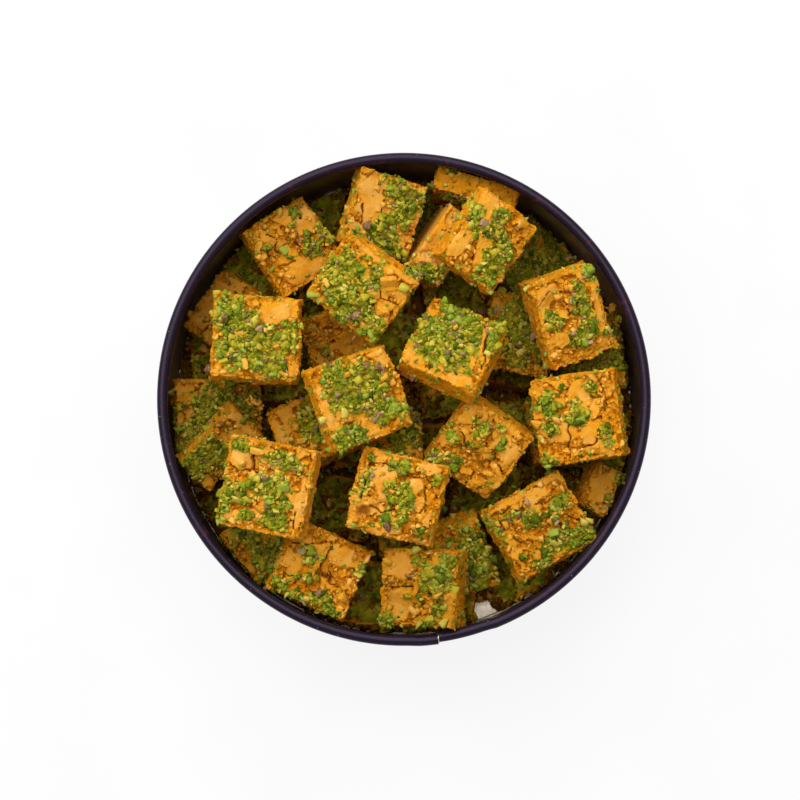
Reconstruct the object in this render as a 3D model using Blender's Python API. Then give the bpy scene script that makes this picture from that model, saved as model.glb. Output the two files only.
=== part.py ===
# Round metal tin filled with a loose heap of saffron sweets under ground pistachio.
# The tin stands on Z = 0 with its axis on Z; -Y is the front, where the wall's lap seam is.
import math
import random

import bmesh
import bpy
import numpy as np
from mathutils import Euler, Matrix, Vector, noise

mm = 0.001

# tin
rim_radius = 75.0 * mm  # outside of the rolled rim and of the wall
tin_height = 50.0 * mm
wall_thickness = 0.6 * mm
roll_width = 3.2 * mm  # the wall's top edge is rolled inwards to a tube this wide
wall_foot = 1.3 * mm  # the wall's lower edge stands in the base's groove
wall_segments = 80
base_segments = 48
floor_top = 3.0 * mm
panel_underside = 1.6 * mm
foot_inner = 70.0 * mm  # inner edge of the ring that the tin stands on
foot_outer = 75.4 * mm
hem_thickness = 0.65 * mm  # the base's edge is folded up outside the wall
hem_height = 3.2 * mm
groove_floor = 1.0 * mm
gap = 0.3 * mm
foot_chamfer = 1.2 * mm
hem_chamfer = 0.8 * mm

# lap seam: the wall's ends overlap, so one end sits proud of the other
seam_step_angle = -79.9  # degrees round Z, the front is at -90
seam_recess = 0.34 * mm
seam_recess_start = -66.5
seam_recess_fade = 1.5  # degrees over which the recess begins
seam_proud = 0.24 * mm
seam_proud_end = -87.0
seam_proud_fade = 3.0
seam_sharpness = 0.12  # degrees between the two rows of points that make the step

# sweets: cut blocks, with the nuts pressed into the upper face
nut_rise = 1.1 * mm  # the nuts stand this far above the block's own upper face
side_roughness = 0.3 * mm  # how far the sides fall in at most
ring_share = 0.6  # where up the sides the ring of points is that the roughness starts from
broad_relief = 0.45 * mm  # the upper face's hollows, over a few cells and from cell to cell
broad_size = 2.2
sharp_relief = 0.35 * mm
sharp_size = 0.9
edge_loss = 0.7 * mm  # the edges round the upper face crumble by up to this much
edge_shrink = 0.035
hollow_depth = 2.4 * mm
hollow_reach = 0.3
corner_loss = 3.0 * mm
corner_shrink = 0.14
corner_reach = 0.5
level_margin = 0.1 * mm  # heights closer together than this count as one
nut_radii = (1.15, 1.75)
nut_spread = 0.42
nut_margin = 1.3  # nuts keep this many of their radii from the sides
nut_sink = 0.25
nut_lengths = (1.2, 0.9)
nut_heights = (0.65, 0.85)
seed = 41

# What each sweet is set to before the heap is eased apart: place of its middle in mm, the
# turn about Z, the lean and the direction that the upper face then tips to in degrees, and
# width, depth and thickness in mm.
low_sweets = (
    (-61, 9, 12.5, 4, 4, 0, 21, 21, 13.5),
    (-49, 38, 12.5, -38, 4, 120, 21, 21, 13.5),
    (-27, 55, 12.5, 26, 3, -90, 21, 21, 13.5),
    (3, 61.5, 12.5, 2, 3, -90, 21, 21, 13.5),
    (38, 49, 13.5, 50, 4, -135, 22, 22, 13.5),
    (60, 16, 12.5, 14, 3, 180, 22, 22, 13.5),
    (61, -9, 12.5, -8, 2, 0, 21, 21, 13.5),
    (53, -32, 12.5, -31, 3, 150, 21, 21, 13.5),
    (35, -50, 11.5, 35, 3, 120, 20, 20, 13.5),
    (11.5, -60, 12.5, 8, 3, 90, 21, 20, 13.5),
    (-13.5, -60, 12.5, -12, 4, 90, 21, 21, 13.5),
    (-34, -51, 13.5, -34, 4, 45, 20, 20, 13.5),
    (-50, -36.5, 12.5, 36, 4, 30, 21, 21, 13.5),
    (-60, -15, 12.5, 14, 3, 0, 21, 21, 13.5),
    (-27, 31, 11, 12, 3, -60, 16, 17, 13),
    (-5, 20, 11, -9, 3, 180, 20, 20, 13.5),
    (20, 34, 12.5, 10, 3, -120, 20, 20, 13.5),
    (-40, 5, 12.5, 5, 3, 90, 20, 20, 13.5),
    (14, 5, 11, 8, 3, -90, 18, 18, 13.5),
    (35, 4, 11, -7, 3, 90, 20, 20, 13.5),
    (-39, -16, 12.5, -12, 3, 90, 20, 20, 13.5),
    (-10, -10, 12.5, 6, 2, 90, 21, 21, 13.5),
    (25, -33, 11, -14, 3, 45, 20, 20, 13.5),
    (11, -16.5, 11, 4, 2, -45, 18, 18, 13.5),
    (36, -12.5, 11, 12, 2, 90, 19, 19, 13.5),
    (-23, -36, 11, -10, 3, 0, 20, 20, 13.5),
    (0, -41, 11, 4, 3, 90, 21, 19, 13.5),
)
middle_sweets = (
    (-57, -9.5, 27.5, 6, 12, -20, 27, 23, 13.5),
    (-55, -18, 35.5, 47, 20, -45, 24, 14, 12),
    (-27, -9.5, 28.5, 25, 8, 120, 23, 21, 13.5),
    (-20.5, 17.5, 29.5, 20, 8, -60, 22, 21, 13.5),
    (-54, 21, 29.5, -34, 8, 170, 24, 23, 13.5),
    (21, 65.5, 31, -15, 90, -105, 26.5, 25.5, 9.5),
    (39, 21.5, 30.5, -10, 8, -100, 22, 24, 13.5),
    (61, 14, 29.5, 10, 8, -160, 17, 24, 13.5),
    (-0.5, -13.5, 27.5, 5, 6, 90, 19, 20, 13.5),
    (20.5, -51.5, 25.5, 21, 20, -70, 21, 23, 13.5),
    (-10, 57, 26, -20, 4, 90, 20, 20, 12),
    (-43, -47, 25, 42, 6, 45, 22, 20, 12),
    (50, -8, 27.5, 10, 4, -161, 22, 20, 13.5),
)
top_sweets = (
    (-44.3, 16.4, 49.5, -1, 5, 27, 27, 26, 13.5),
    (-13.5, 31, 53, -34, 15, -107, 26, 23.5, 13.5),
    (-14, -1.5, 53.5, 22, 12, -10, 26, 26, 13.5),
    (14.5, 15, 50.5, -24, 17, 106, 25, 24, 13.5),
    (-1.8, -34, 48.5, -12, 5, 176, 26.8, 25, 13.5),
    (23.2, 48.1, 53.5, -33, 14, -38, 21, 25, 13.5),
    (7.8, 49, 35, -33, 100, -33, 28, 23, 13.5),
    (-10.8, 58, 44.5, -14, 14, -42, 21.5, 24, 13.5),
    (-34.4, 49.5, 37.5, 35, 10, -22, 23, 24, 13.5),
    (49.8, 27, 42.5, 22, 16, -48, 21.5, 27.5, 13.5),
    (52.2, -5.8, 43.5, 10, 12, -161, 26.5, 27, 13.5),
    (43.4, -36.2, 37.5, -59, 7, 68, 25, 27, 13.5),
    (22.6, -15.8, 39.5, -33, 14, -95, 24, 25, 13.5),
    (-40, -28.5, 48.5, -9, 7, -162, 26.5, 27, 13.5),
    (-24.5, -53.5, 36.5, -22, 6, -6, 26, 23, 13.5),
    (9.6, -58, 39.5, 0, 14, 173, 24, 23.5, 13.5),
    (62.5, -25, 28, 66, 14, -20, 15, 10, 12),
)
# The upper faces of the topmost sweets: where the nuts lie thickest, in half widths and half
# depths from the middle, how many large ones there are, the corner that is broken off, and a
# hollow where crumbs have come away.
top_faces = (
    {"nuts_at": (-0.1, -0.15), "nuts": 7, "broken": None, "hollow": None},
    {"nuts_at": (-0.1, -0.3), "nuts": 7, "broken": None, "hollow": (0.47, -0.14)},
    {"nuts_at": (0.05, 0.0), "nuts": 7, "broken": None, "hollow": None},
    {"nuts_at": (-0.15, 0.15), "nuts": 7, "broken": None, "hollow": None},
    {"nuts_at": (0.0, -0.1), "nuts": 5, "broken": (1, -1), "hollow": (-0.5, -0.6)},
    {"nuts_at": (-0.1, 0.1), "nuts": 7, "broken": (1, 1), "hollow": (0.45, 0.35)},
    {"nuts_at": (0.0, 0.0), "nuts": 3, "broken": None, "hollow": None},
    {"nuts_at": (0.45, -0.1), "nuts": 7, "broken": None, "hollow": None},
    {"nuts_at": (0.1, -0.1), "nuts": 4, "broken": (1, 1), "hollow": (-0.5, 0.0)},
    {"nuts_at": (0.3, 0.1), "nuts": 7, "broken": None, "hollow": (-0.45, 0.35)},
    {"nuts_at": (-0.4, 0.3), "nuts": 4, "broken": None, "hollow": (0.5, 0.5)},
    {"nuts_at": (0.35, 0.1), "nuts": 7, "broken": None, "hollow": None},
    {"nuts_at": (-0.5, 0.0), "nuts": 6, "broken": (1, -1), "hollow": (0.3, -0.2)},
    {"nuts_at": (0.1, 0.0), "nuts": 7, "broken": None, "hollow": (-0.35, 0.4)},
    {"nuts_at": (0.0, -0.3), "nuts": 5, "broken": (-1, 1), "hollow": (0.3, -0.2)},
    {"nuts_at": (0.3, 0.0), "nuts": 7, "broken": None, "hollow": (-0.6, -0.6)},
    {"nuts_at": (0.0, 0.0), "nuts": 1, "broken": None, "hollow": None},
)
plain_face = {"nuts_at": (0.0, 0.0), "broken": None, "hollow": None}
middle_nuts = 1
low_nuts = 0
top_cells = 7  # cells along each side of the upper face
middle_cells = 4
low_cells = 3

# easing the heap apart: how readily each layer gives way sideways and up, and how firmly it
# is held to its place
layer_rules = {
    "low": {"sideways": 1.0, "upwards": 0.6, "hold": 0.0},
    "middle": {"sideways": 0.6, "upwards": 1.0, "hold": 0.06},
    "top": {"sideways": 0.12, "upwards": 1.0, "hold": 0.25},
}
easing_passes = 300
easing_push = 0.6
held_passes = 180
roll_zone = 44.5  # above this height, in mm, the rolled rim narrows the tin
corner_signs = np.array([[x, y, z] for x in (-1, 1) for y in (-1, 1) for z in (-1, 1)], float)


def clear_scene():
    for obj in list(bpy.data.objects):
        bpy.data.objects.remove(obj, do_unlink=True)


def make_material(name, color, roughness, metallic=0.0):
    material = bpy.data.materials.new(name)
    material.use_nodes = True
    shader = material.node_tree.nodes["Principled BSDF"]
    shader.inputs["Base Color"].default_value = (*color, 1.0)
    shader.inputs["Roughness"].default_value = roughness
    shader.inputs["Metallic"].default_value = metallic
    material.diffuse_color = (*color, 1.0)
    return material


def add_object(name, mesh, material):
    obj = bpy.data.objects.new(name, mesh)
    bpy.context.scene.collection.objects.link(obj)
    if material:
        mesh.materials.append(material)
    return obj


# ---- the tin ----


def seam_offset(angle):
    """How far the lapped wall lies outside its true circle at this angle in degrees."""
    if seam_step_angle < angle <= seam_recess_start:
        return -seam_recess * min(1.0, (seam_recess_start - angle) / seam_recess_fade)
    if seam_proud_end < angle <= seam_step_angle:
        return seam_proud * min(1.0, (angle - seam_proud_end) / seam_proud_fade)
    return 0.0


def ring_angles(count):
    """Even angles in degrees, with one pair drawn close to the seam's step."""
    angles = [-180.0 + 360.0 * i / count for i in range(count)]
    near = min(angles, key=lambda a: abs(a - seam_step_angle))
    angles.remove(near)
    angles += [seam_step_angle - seam_sharpness, seam_step_angle + seam_sharpness]
    return sorted(angles)


def turned_ring(name, outline, angles, offset):
    """A closed outline of (radius, height) points carried round Z."""
    bm = bmesh.new()
    rows = []
    for angle in angles:
        turn = math.radians(angle)
        row = []
        for radius, height in outline:
            r = radius + offset(angle)
            row.append(bm.verts.new((r * math.cos(turn), r * math.sin(turn), height)))
        rows.append(row)
    for row, following in zip(rows, rows[1:] + rows[:1]):
        for i in range(len(outline)):
            j = (i + 1) % len(outline)
            bm.faces.new((row[i], following[i], following[j], row[j]))
    bmesh.ops.recalc_face_normals(bm, faces=bm.faces)
    mesh = bpy.data.meshes.new(name)
    bm.to_mesh(mesh)
    bm.free()
    mesh.shade_smooth()
    mesh.set_sharp_from_angle(angle=math.radians(40))
    return mesh


def wall_outline():
    """The wall's section: up the outside, over the rolled rim and down the inside."""
    tube = roll_width / 2
    centre = rim_radius - tube
    points = [(rim_radius, wall_foot), (rim_radius, tin_height - tube)]
    for turn in (38, 76, 114, 152, 190, 228):
        angle = math.radians(turn)
        points.append((centre + tube * math.cos(angle), tin_height - tube + tube * math.sin(angle)))
    inner = rim_radius - wall_thickness
    points.append((inner, tin_height - roll_width))
    points.append((inner, wall_foot))
    return points


def make_base(material):
    """The floor panel with its standing ring, and the hem folded up round the wall."""
    inside_wall = rim_radius - wall_thickness - seam_recess - gap
    outside_wall = rim_radius + seam_proud + gap
    hem_outer = outside_wall + hem_thickness
    outline = [
        (foot_inner - foot_chamfer, panel_underside),
        (foot_inner, 0.0),
        (foot_outer, 0.0),
        (hem_outer, hem_chamfer),
        (hem_outer, hem_height),
        (outside_wall, hem_height),
        (outside_wall, groove_floor),
        (inside_wall, groove_floor),
        (inside_wall, floor_top),
    ]
    bm = bmesh.new()
    rows = []
    for i in range(base_segments):
        turn = 2 * math.pi * i / base_segments
        rows.append([bm.verts.new((r * math.cos(turn), r * math.sin(turn), z)) for r, z in outline])
    for row, following in zip(rows, rows[1:] + rows[:1]):
        for i in range(len(outline) - 1):
            bm.faces.new((row[i], following[i], following[i + 1], row[i + 1]))
    bm.faces.new([row[0] for row in rows])
    bm.faces.new([row[-1] for row in rows])
    bmesh.ops.recalc_face_normals(bm, faces=bm.faces)
    mesh = bpy.data.meshes.new("tin_base")
    bm.to_mesh(mesh)
    bm.free()
    mesh.shade_smooth()
    mesh.set_sharp_from_angle(angle=math.radians(30))
    return add_object("tin_base", mesh, material)


# ---- where the sweets lie ----


def pose_matrix(turn, lean, toward):
    axis = Vector((-math.sin(math.radians(toward)), math.cos(math.radians(toward)), 0.0))
    leaning = Matrix.Rotation(math.radians(lean), 3, axis)
    turned = Matrix.Rotation(math.radians(turn), 3, "Z")
    return np.array(leaning @ turned)


def push_apart(first, second, spare):
    """The least shift of the first block that clears the second, or None where it is clear."""
    a, b = first["axes"], second["axes"]
    crossed = np.cross(a.T[:, None, :], b.T[None, :, :]).reshape(9, 3)
    axes = np.vstack([a.T, b.T, crossed])
    length = np.linalg.norm(axes, axis=1)
    axes = axes[length > 1e-4] / length[length > 1e-4][:, None]
    reach = np.abs(axes @ a) @ first["half"] + np.abs(axes @ b) @ second["half"] + spare
    apart = axes @ (first["middle"] - second["middle"])
    depth = reach - np.abs(apart)
    least = depth.argmin()
    if depth[least] <= 0:
        return None
    return axes[least] * depth[least] * (1 if apart[least] >= 0 else -1)


def corners(block, middle):
    return middle + (corner_signs * block["half"]) @ block["axes"].T


def side_room(points):
    """How far each point, in mm, may lie from the tin's axis."""
    wall = (rim_radius - wall_thickness - gap - seam_recess) / mm
    roll = (rim_radius - roll_width - gap - seam_recess) / mm
    return np.where(points[:, 2] > roll_zone, roll, wall)


def keep_in_tin(block):
    lowest = (floor_top + gap) / mm
    for _ in range(3):
        points = corners(block, block["middle"])
        radius = np.hypot(points[:, 0], points[:, 1])
        over = radius - side_room(points)
        worst = over.argmax()
        if over[worst] > 0:
            block["middle"][:2] -= points[worst, :2] / radius[worst] * over[worst]
        block["middle"][2] += max(0.0, lowest - points[:, 2].min())


def near(first, second):
    reach = np.linalg.norm(first["half"]) + np.linalg.norm(second["half"])
    return np.linalg.norm(first["middle"] - second["middle"]) < reach


def ease_apart(blocks):
    """Shifts overlapping blocks apart a little at a time, the topmost ones least."""
    homes = [block["middle"].copy() for block in blocks]
    for step in range(easing_passes):
        worst = 0.0
        for i, first in enumerate(blocks):
            for second in blocks[:i]:
                if not near(first, second):
                    continue
                push = push_apart(first, second, gap / mm + 0.05)
                if push is None:
                    continue
                worst = max(worst, np.linalg.norm(push))
                rule, other = layer_rules[first["layer"]], layer_rules[second["layer"]]
                side = rule["sideways"] / (rule["sideways"] + other["sideways"])
                rise = rule["upwards"] / (rule["upwards"] + other["upwards"])
                share = np.array([side, side, rise])
                first["middle"] += push * share * easing_push
                second["middle"] -= push * (1 - share) * easing_push
        for block, home in zip(blocks, homes):
            if step < held_passes:
                hold = layer_rules[block["layer"]]["hold"] * min(1.0, 2 - 2 * step / held_passes)
                block["middle"] += (home - block["middle"]) * hold * np.array([1, 1, 0.3])
            keep_in_tin(block)
        if worst < 0.02:
            break


def is_clear(block, middle, blocks):
    points = corners(block, middle)
    if points[:, 2].min() < (floor_top + gap) / mm:
        return False
    if (np.hypot(points[:, 0], points[:, 1]) > side_room(points) + 0.05).any():
        return False
    moved = dict(block, middle=middle)
    for other in blocks:
        if other is block or not near(moved, other):
            continue
        if push_apart(moved, other, gap / mm) is not None:
            return False
    return True


def lower_onto(blocks):
    """Lowers each block, the lowest first, until it meets the floor or another block."""
    for _ in range(3):
        order = sorted(blocks, key=lambda b: corners(b, b["middle"])[:, 2].min())
        for block in order:
            step = 0.5
            while step > 0.03:
                lower = block["middle"] - np.array([0, 0, step])
                if is_clear(block, lower, blocks):
                    block["middle"] = lower
                else:
                    step /= 2


def lay_heap():
    blocks = []
    layers = (("low", low_sweets), ("mid", middle_sweets), ("top", top_sweets))
    for layer, rows in layers:
        for number, row in enumerate(rows, 1):
            x, y, z, turn, lean, toward, width, depth, thickness = row
            blocks.append(
                {
                    "name": f"sweet_{layer}_{number:02d}",
                    "layer": "middle" if layer == "mid" else layer,
                    "middle": np.array([x, y, z], float),
                    "axes": pose_matrix(turn, lean, toward),
                    "half": np.array([width, depth, thickness]) / 2,
                }
            )
    ease_apart(blocks)
    lower_onto(blocks)
    return blocks


# ---- one sweet ----


def block_mesh(name, size, cells, face, draw):
    """A cut block with a crumbly upper face, inside a box of this size round the origin."""
    width, depth, thickness = size
    half_width = width / 2
    half_depth = depth / 2
    bottom = -thickness / 2
    top = thickness / 2 - nut_rise
    ring = bottom + ring_share * (top - bottom)
    bm = bmesh.new()
    bmesh.ops.create_cube(bm, size=2.0)
    for v in bm.verts:
        v.co = (v.co.x * half_width, v.co.y * half_depth, top if v.co.z > 0 else bottom)
    upright = [e for e in bm.edges if abs(e.verts[0].co.z - e.verts[1].co.z) > thickness / 4]
    bmesh.ops.subdivide_edges(bm, edges=upright, cuts=1)
    for v in bm.verts:
        if bottom + level_margin < v.co.z < top - level_margin:
            v.co.z = ring
    level = [e for e in bm.edges if min(v.co.z for v in e.verts) > ring - level_margin]
    level = [e for e in level if abs(e.verts[0].co.z - e.verts[1].co.z) < level_margin]
    bmesh.ops.subdivide_edges(bm, edges=level, cuts=cells - 1, use_grid_fill=True)
    start = Vector((draw.uniform(0, 90), draw.uniform(0, 90), draw.uniform(0, 90)))
    cell = max(width, depth) / cells
    for v in bm.verts:
        if v.co.z < ring - level_margin:
            continue
        u, w = v.co.x / half_width, v.co.y / half_depth
        on_edge = max(abs(u), abs(w)) > 0.99
        bumpy = noise.noise(start + v.co / (broad_size * cell))
        sharp = noise.noise(start.zyx + v.co / (sharp_size * cell))
        if on_edge:
            inward = side_roughness * (1 + sharp)
            v.co.x -= math.copysign(inward, v.co.x) * (abs(u) > 0.99)
            v.co.y -= math.copysign(inward, v.co.y) * (abs(w) > 0.99)
        if v.co.z < top - level_margin:
            continue
        sink = broad_relief * (1 + bumpy) + sharp_relief * (1 + sharp)
        if on_edge:
            sink += draw.uniform(0.0, edge_loss)
            v.co.x *= 1 - draw.uniform(0.0, edge_shrink)
            v.co.y *= 1 - draw.uniform(0.0, edge_shrink)
        if face["hollow"]:
            away = math.hypot(u - face["hollow"][0], w - face["hollow"][1])
            sink += hollow_depth * math.exp(-((away / hollow_reach) ** 2))
        if face["broken"]:
            away = math.hypot(u - face["broken"][0], w - face["broken"][1])
            loss = max(0.0, 1 - away / corner_reach)
            sink += corner_loss * loss
            v.co.x *= 1 - corner_shrink * loss
            v.co.y *= 1 - corner_shrink * loss
        v.co.z -= sink
    bmesh.ops.recalc_face_normals(bm, faces=bm.faces)
    mesh = bpy.data.meshes.new(name)
    bm.to_mesh(mesh)
    bm.free()
    return mesh


def add_nuts(name, size, face, count, mesh, draw):
    """Chopped pistachio for one block, in a collection of its own."""
    width, depth, thickness = size
    heap = bpy.data.collections.new(name + "_nuts")
    bpy.context.scene.collection.children.link(heap)
    upper = [v.co for v in mesh.vertices if v.co.z > thickness / 2 - thickness * 0.45]
    for _ in range(count):
        radius = draw.uniform(*nut_radii) * mm
        at_u = max(-1.0, min(1.0, draw.gauss(face["nuts_at"][0], nut_spread)))
        at_w = max(-1.0, min(1.0, draw.gauss(face["nuts_at"][1], nut_spread)))
        x = at_u * (width / 2 - side_roughness - nut_margin * radius)
        y = at_w * (depth / 2 - side_roughness - nut_margin * radius)
        ground = min(upper, key=lambda co: math.hypot(co.x - x, co.y - y)).z
        squash = draw.uniform(*nut_heights)
        high = min(ground + nut_sink * radius, thickness / 2 - squash * radius)
        nut = bmesh.new()
        bmesh.ops.create_icosphere(nut, subdivisions=1, radius=radius)
        spin = Euler((draw.uniform(0, 3), draw.uniform(0, 3), draw.uniform(0, 3)))
        bmesh.ops.rotate(nut, verts=nut.verts, cent=(0, 0, 0), matrix=spin.to_matrix())
        bmesh.ops.scale(nut, vec=(*nut_lengths, squash), verts=nut.verts)
        bmesh.ops.translate(nut, vec=(x, y, high), verts=nut.verts)
        nut_mesh = bpy.data.meshes.new("nut")
        nut.to_mesh(nut_mesh)
        nut.free()
        piece = bpy.data.objects.new("nut", nut_mesh)
        piece.hide_render = True
        piece.display_type = "WIRE"
        heap.objects.link(piece)
    return heap


def fuse(obj, heap):
    """Joins a block and its nuts to one closed body, then removes the nuts."""
    union = obj.modifiers.new("nuts", "BOOLEAN")
    union.operation = "UNION"
    union.solver = "EXACT"
    union.operand_type = "COLLECTION"
    union.collection = heap
    bpy.context.view_layer.update()
    evaluated = obj.evaluated_get(bpy.context.evaluated_depsgraph_get())
    joined = bpy.data.meshes.new_from_object(evaluated)
    obj.modifiers.remove(union)
    obj.data = joined
    for piece in list(heap.objects):
        bpy.data.objects.remove(piece, do_unlink=True)
    bpy.data.collections.remove(heap)


def make_sweets(materials):
    draw = random.Random(seed)
    for block in lay_heap():
        layer = block["layer"]
        number = int(block["name"][-2:]) - 1
        size = tuple(2 * mm * block["half"])
        face = top_faces[number] if layer == "top" else plain_face
        cells = {"top": top_cells, "middle": middle_cells, "low": low_cells}[layer]
        count = face["nuts"] if layer == "top" else (middle_nuts if layer == "middle" else low_nuts)
        mesh = block_mesh(block["name"], size, cells, face, draw)
        obj = add_object(block["name"], mesh, materials[layer])
        fuse(obj, add_nuts(block["name"], size, face, count, mesh, draw))
        pose = Matrix(block["axes"].tolist()).to_4x4()
        obj.matrix_world = Matrix.Translation(Vector(block["middle"]) * mm) @ pose


def main():
    clear_scene()
    lacquer = make_material("dark_lacquer", (0.022, 0.014, 0.026), 0.25)
    tinplate = make_material("tinplate", (0.62, 0.56, 0.48), 0.3, 1.0)
    sweet_shades = {
        "top": make_material("saffron_top", (0.74, 0.36, 0.05), 0.7),
        "middle": make_material("saffron_middle", (0.62, 0.3, 0.04), 0.7),
        "low": make_material("saffron_low", (0.5, 0.24, 0.03), 0.7),
    }
    wall = turned_ring("tin_body", wall_outline(), ring_angles(wall_segments), seam_offset)
    add_object("tin_body", wall, lacquer)
    make_base(tinplate)
    make_sweets(sweet_shades)


main()
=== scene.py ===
import math
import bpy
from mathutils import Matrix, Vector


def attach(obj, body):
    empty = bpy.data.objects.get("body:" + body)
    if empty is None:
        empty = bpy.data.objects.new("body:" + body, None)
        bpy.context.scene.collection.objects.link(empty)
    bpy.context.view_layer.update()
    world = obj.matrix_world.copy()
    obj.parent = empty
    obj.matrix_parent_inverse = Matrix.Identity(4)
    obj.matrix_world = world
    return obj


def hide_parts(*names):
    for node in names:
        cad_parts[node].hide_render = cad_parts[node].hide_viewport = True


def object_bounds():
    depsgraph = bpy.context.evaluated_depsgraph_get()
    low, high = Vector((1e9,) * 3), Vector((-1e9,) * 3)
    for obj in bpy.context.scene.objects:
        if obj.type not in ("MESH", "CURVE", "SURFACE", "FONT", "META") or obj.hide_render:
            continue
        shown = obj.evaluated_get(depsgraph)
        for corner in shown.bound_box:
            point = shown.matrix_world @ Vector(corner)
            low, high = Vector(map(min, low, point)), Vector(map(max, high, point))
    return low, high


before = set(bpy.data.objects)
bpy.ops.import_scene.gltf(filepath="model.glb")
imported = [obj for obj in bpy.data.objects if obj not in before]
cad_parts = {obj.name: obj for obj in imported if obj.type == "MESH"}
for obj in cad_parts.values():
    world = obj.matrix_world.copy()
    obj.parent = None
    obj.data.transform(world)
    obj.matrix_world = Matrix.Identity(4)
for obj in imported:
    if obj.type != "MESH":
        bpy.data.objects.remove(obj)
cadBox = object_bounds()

from types import SimpleNamespace

import bpy
import numpy as np
from mathutils import Vector
from mathutils.bvhtree import BVHTree

mm = 0.001
draw = np.random.default_rng(7)
# the tin's floor in mm: its upper side, how far out the dark dust, which is also painted shade, and
# crumbs lie, and where crumbs end
tinFloor = {"top": 3.0, "reach": 73.6, "wall": 74.2}


# small helpers

def deselectAll():
    if bpy.context.mode != "OBJECT":
        bpy.ops.object.mode_set(mode="OBJECT")
    bpy.ops.object.select_all(action="DESELECT")


def pick(piece):
    deselectAll()
    piece.select_set(True)
    bpy.context.view_layer.objects.active = piece


def startEdit(piece):
    pick(piece)
    bpy.ops.object.mode_set(mode="EDIT")


def endEdit():
    bpy.ops.object.mode_set(mode="OBJECT")


def pickVertices(piece, wanted):
    # selects the vertices for which wanted(co) is true, from edit mode and back
    bpy.ops.object.mode_set(mode="OBJECT")
    for edge in piece.data.edges:
        edge.select = False
    for face in piece.data.polygons:
        face.select = False
    for v in piece.data.vertices:
        v.select = bool(wanted(v.co))
    bpy.ops.object.mode_set(mode="EDIT")


def applyModifier(piece, kind, **settings):
    pick(piece)
    modifier = piece.modifiers.new(kind.lower(), kind)
    for key, value in settings.items():
        setattr(modifier, key, value)
    bpy.ops.object.modifier_apply(modifier=modifier.name)


def smoothByAngle(piece, degrees):
    pick(piece)
    bpy.ops.object.shade_smooth_by_angle(angle=math.radians(degrees))


def rowsOf(mesh, name):
    # the mesh's points or normals as rows of x, y and z
    values = np.empty(len(mesh.vertices) * 3, np.float32)
    mesh.vertices.foreach_get(name, values)
    return values.reshape(-1, 3).astype(float)


def addValues(mesh, name, values):
    mesh.attributes.new(name, "FLOAT", "POINT").data.foreach_set("value", values.astype(np.float32))


def ease(low, high, value):
    # 0 at low and 1 at high with a soft passage between; low may be the larger one
    t = np.clip((value - low) / (high - low), 0.0, 1.0)
    return t * t * (3 - 2 * t)


# materials

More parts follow.
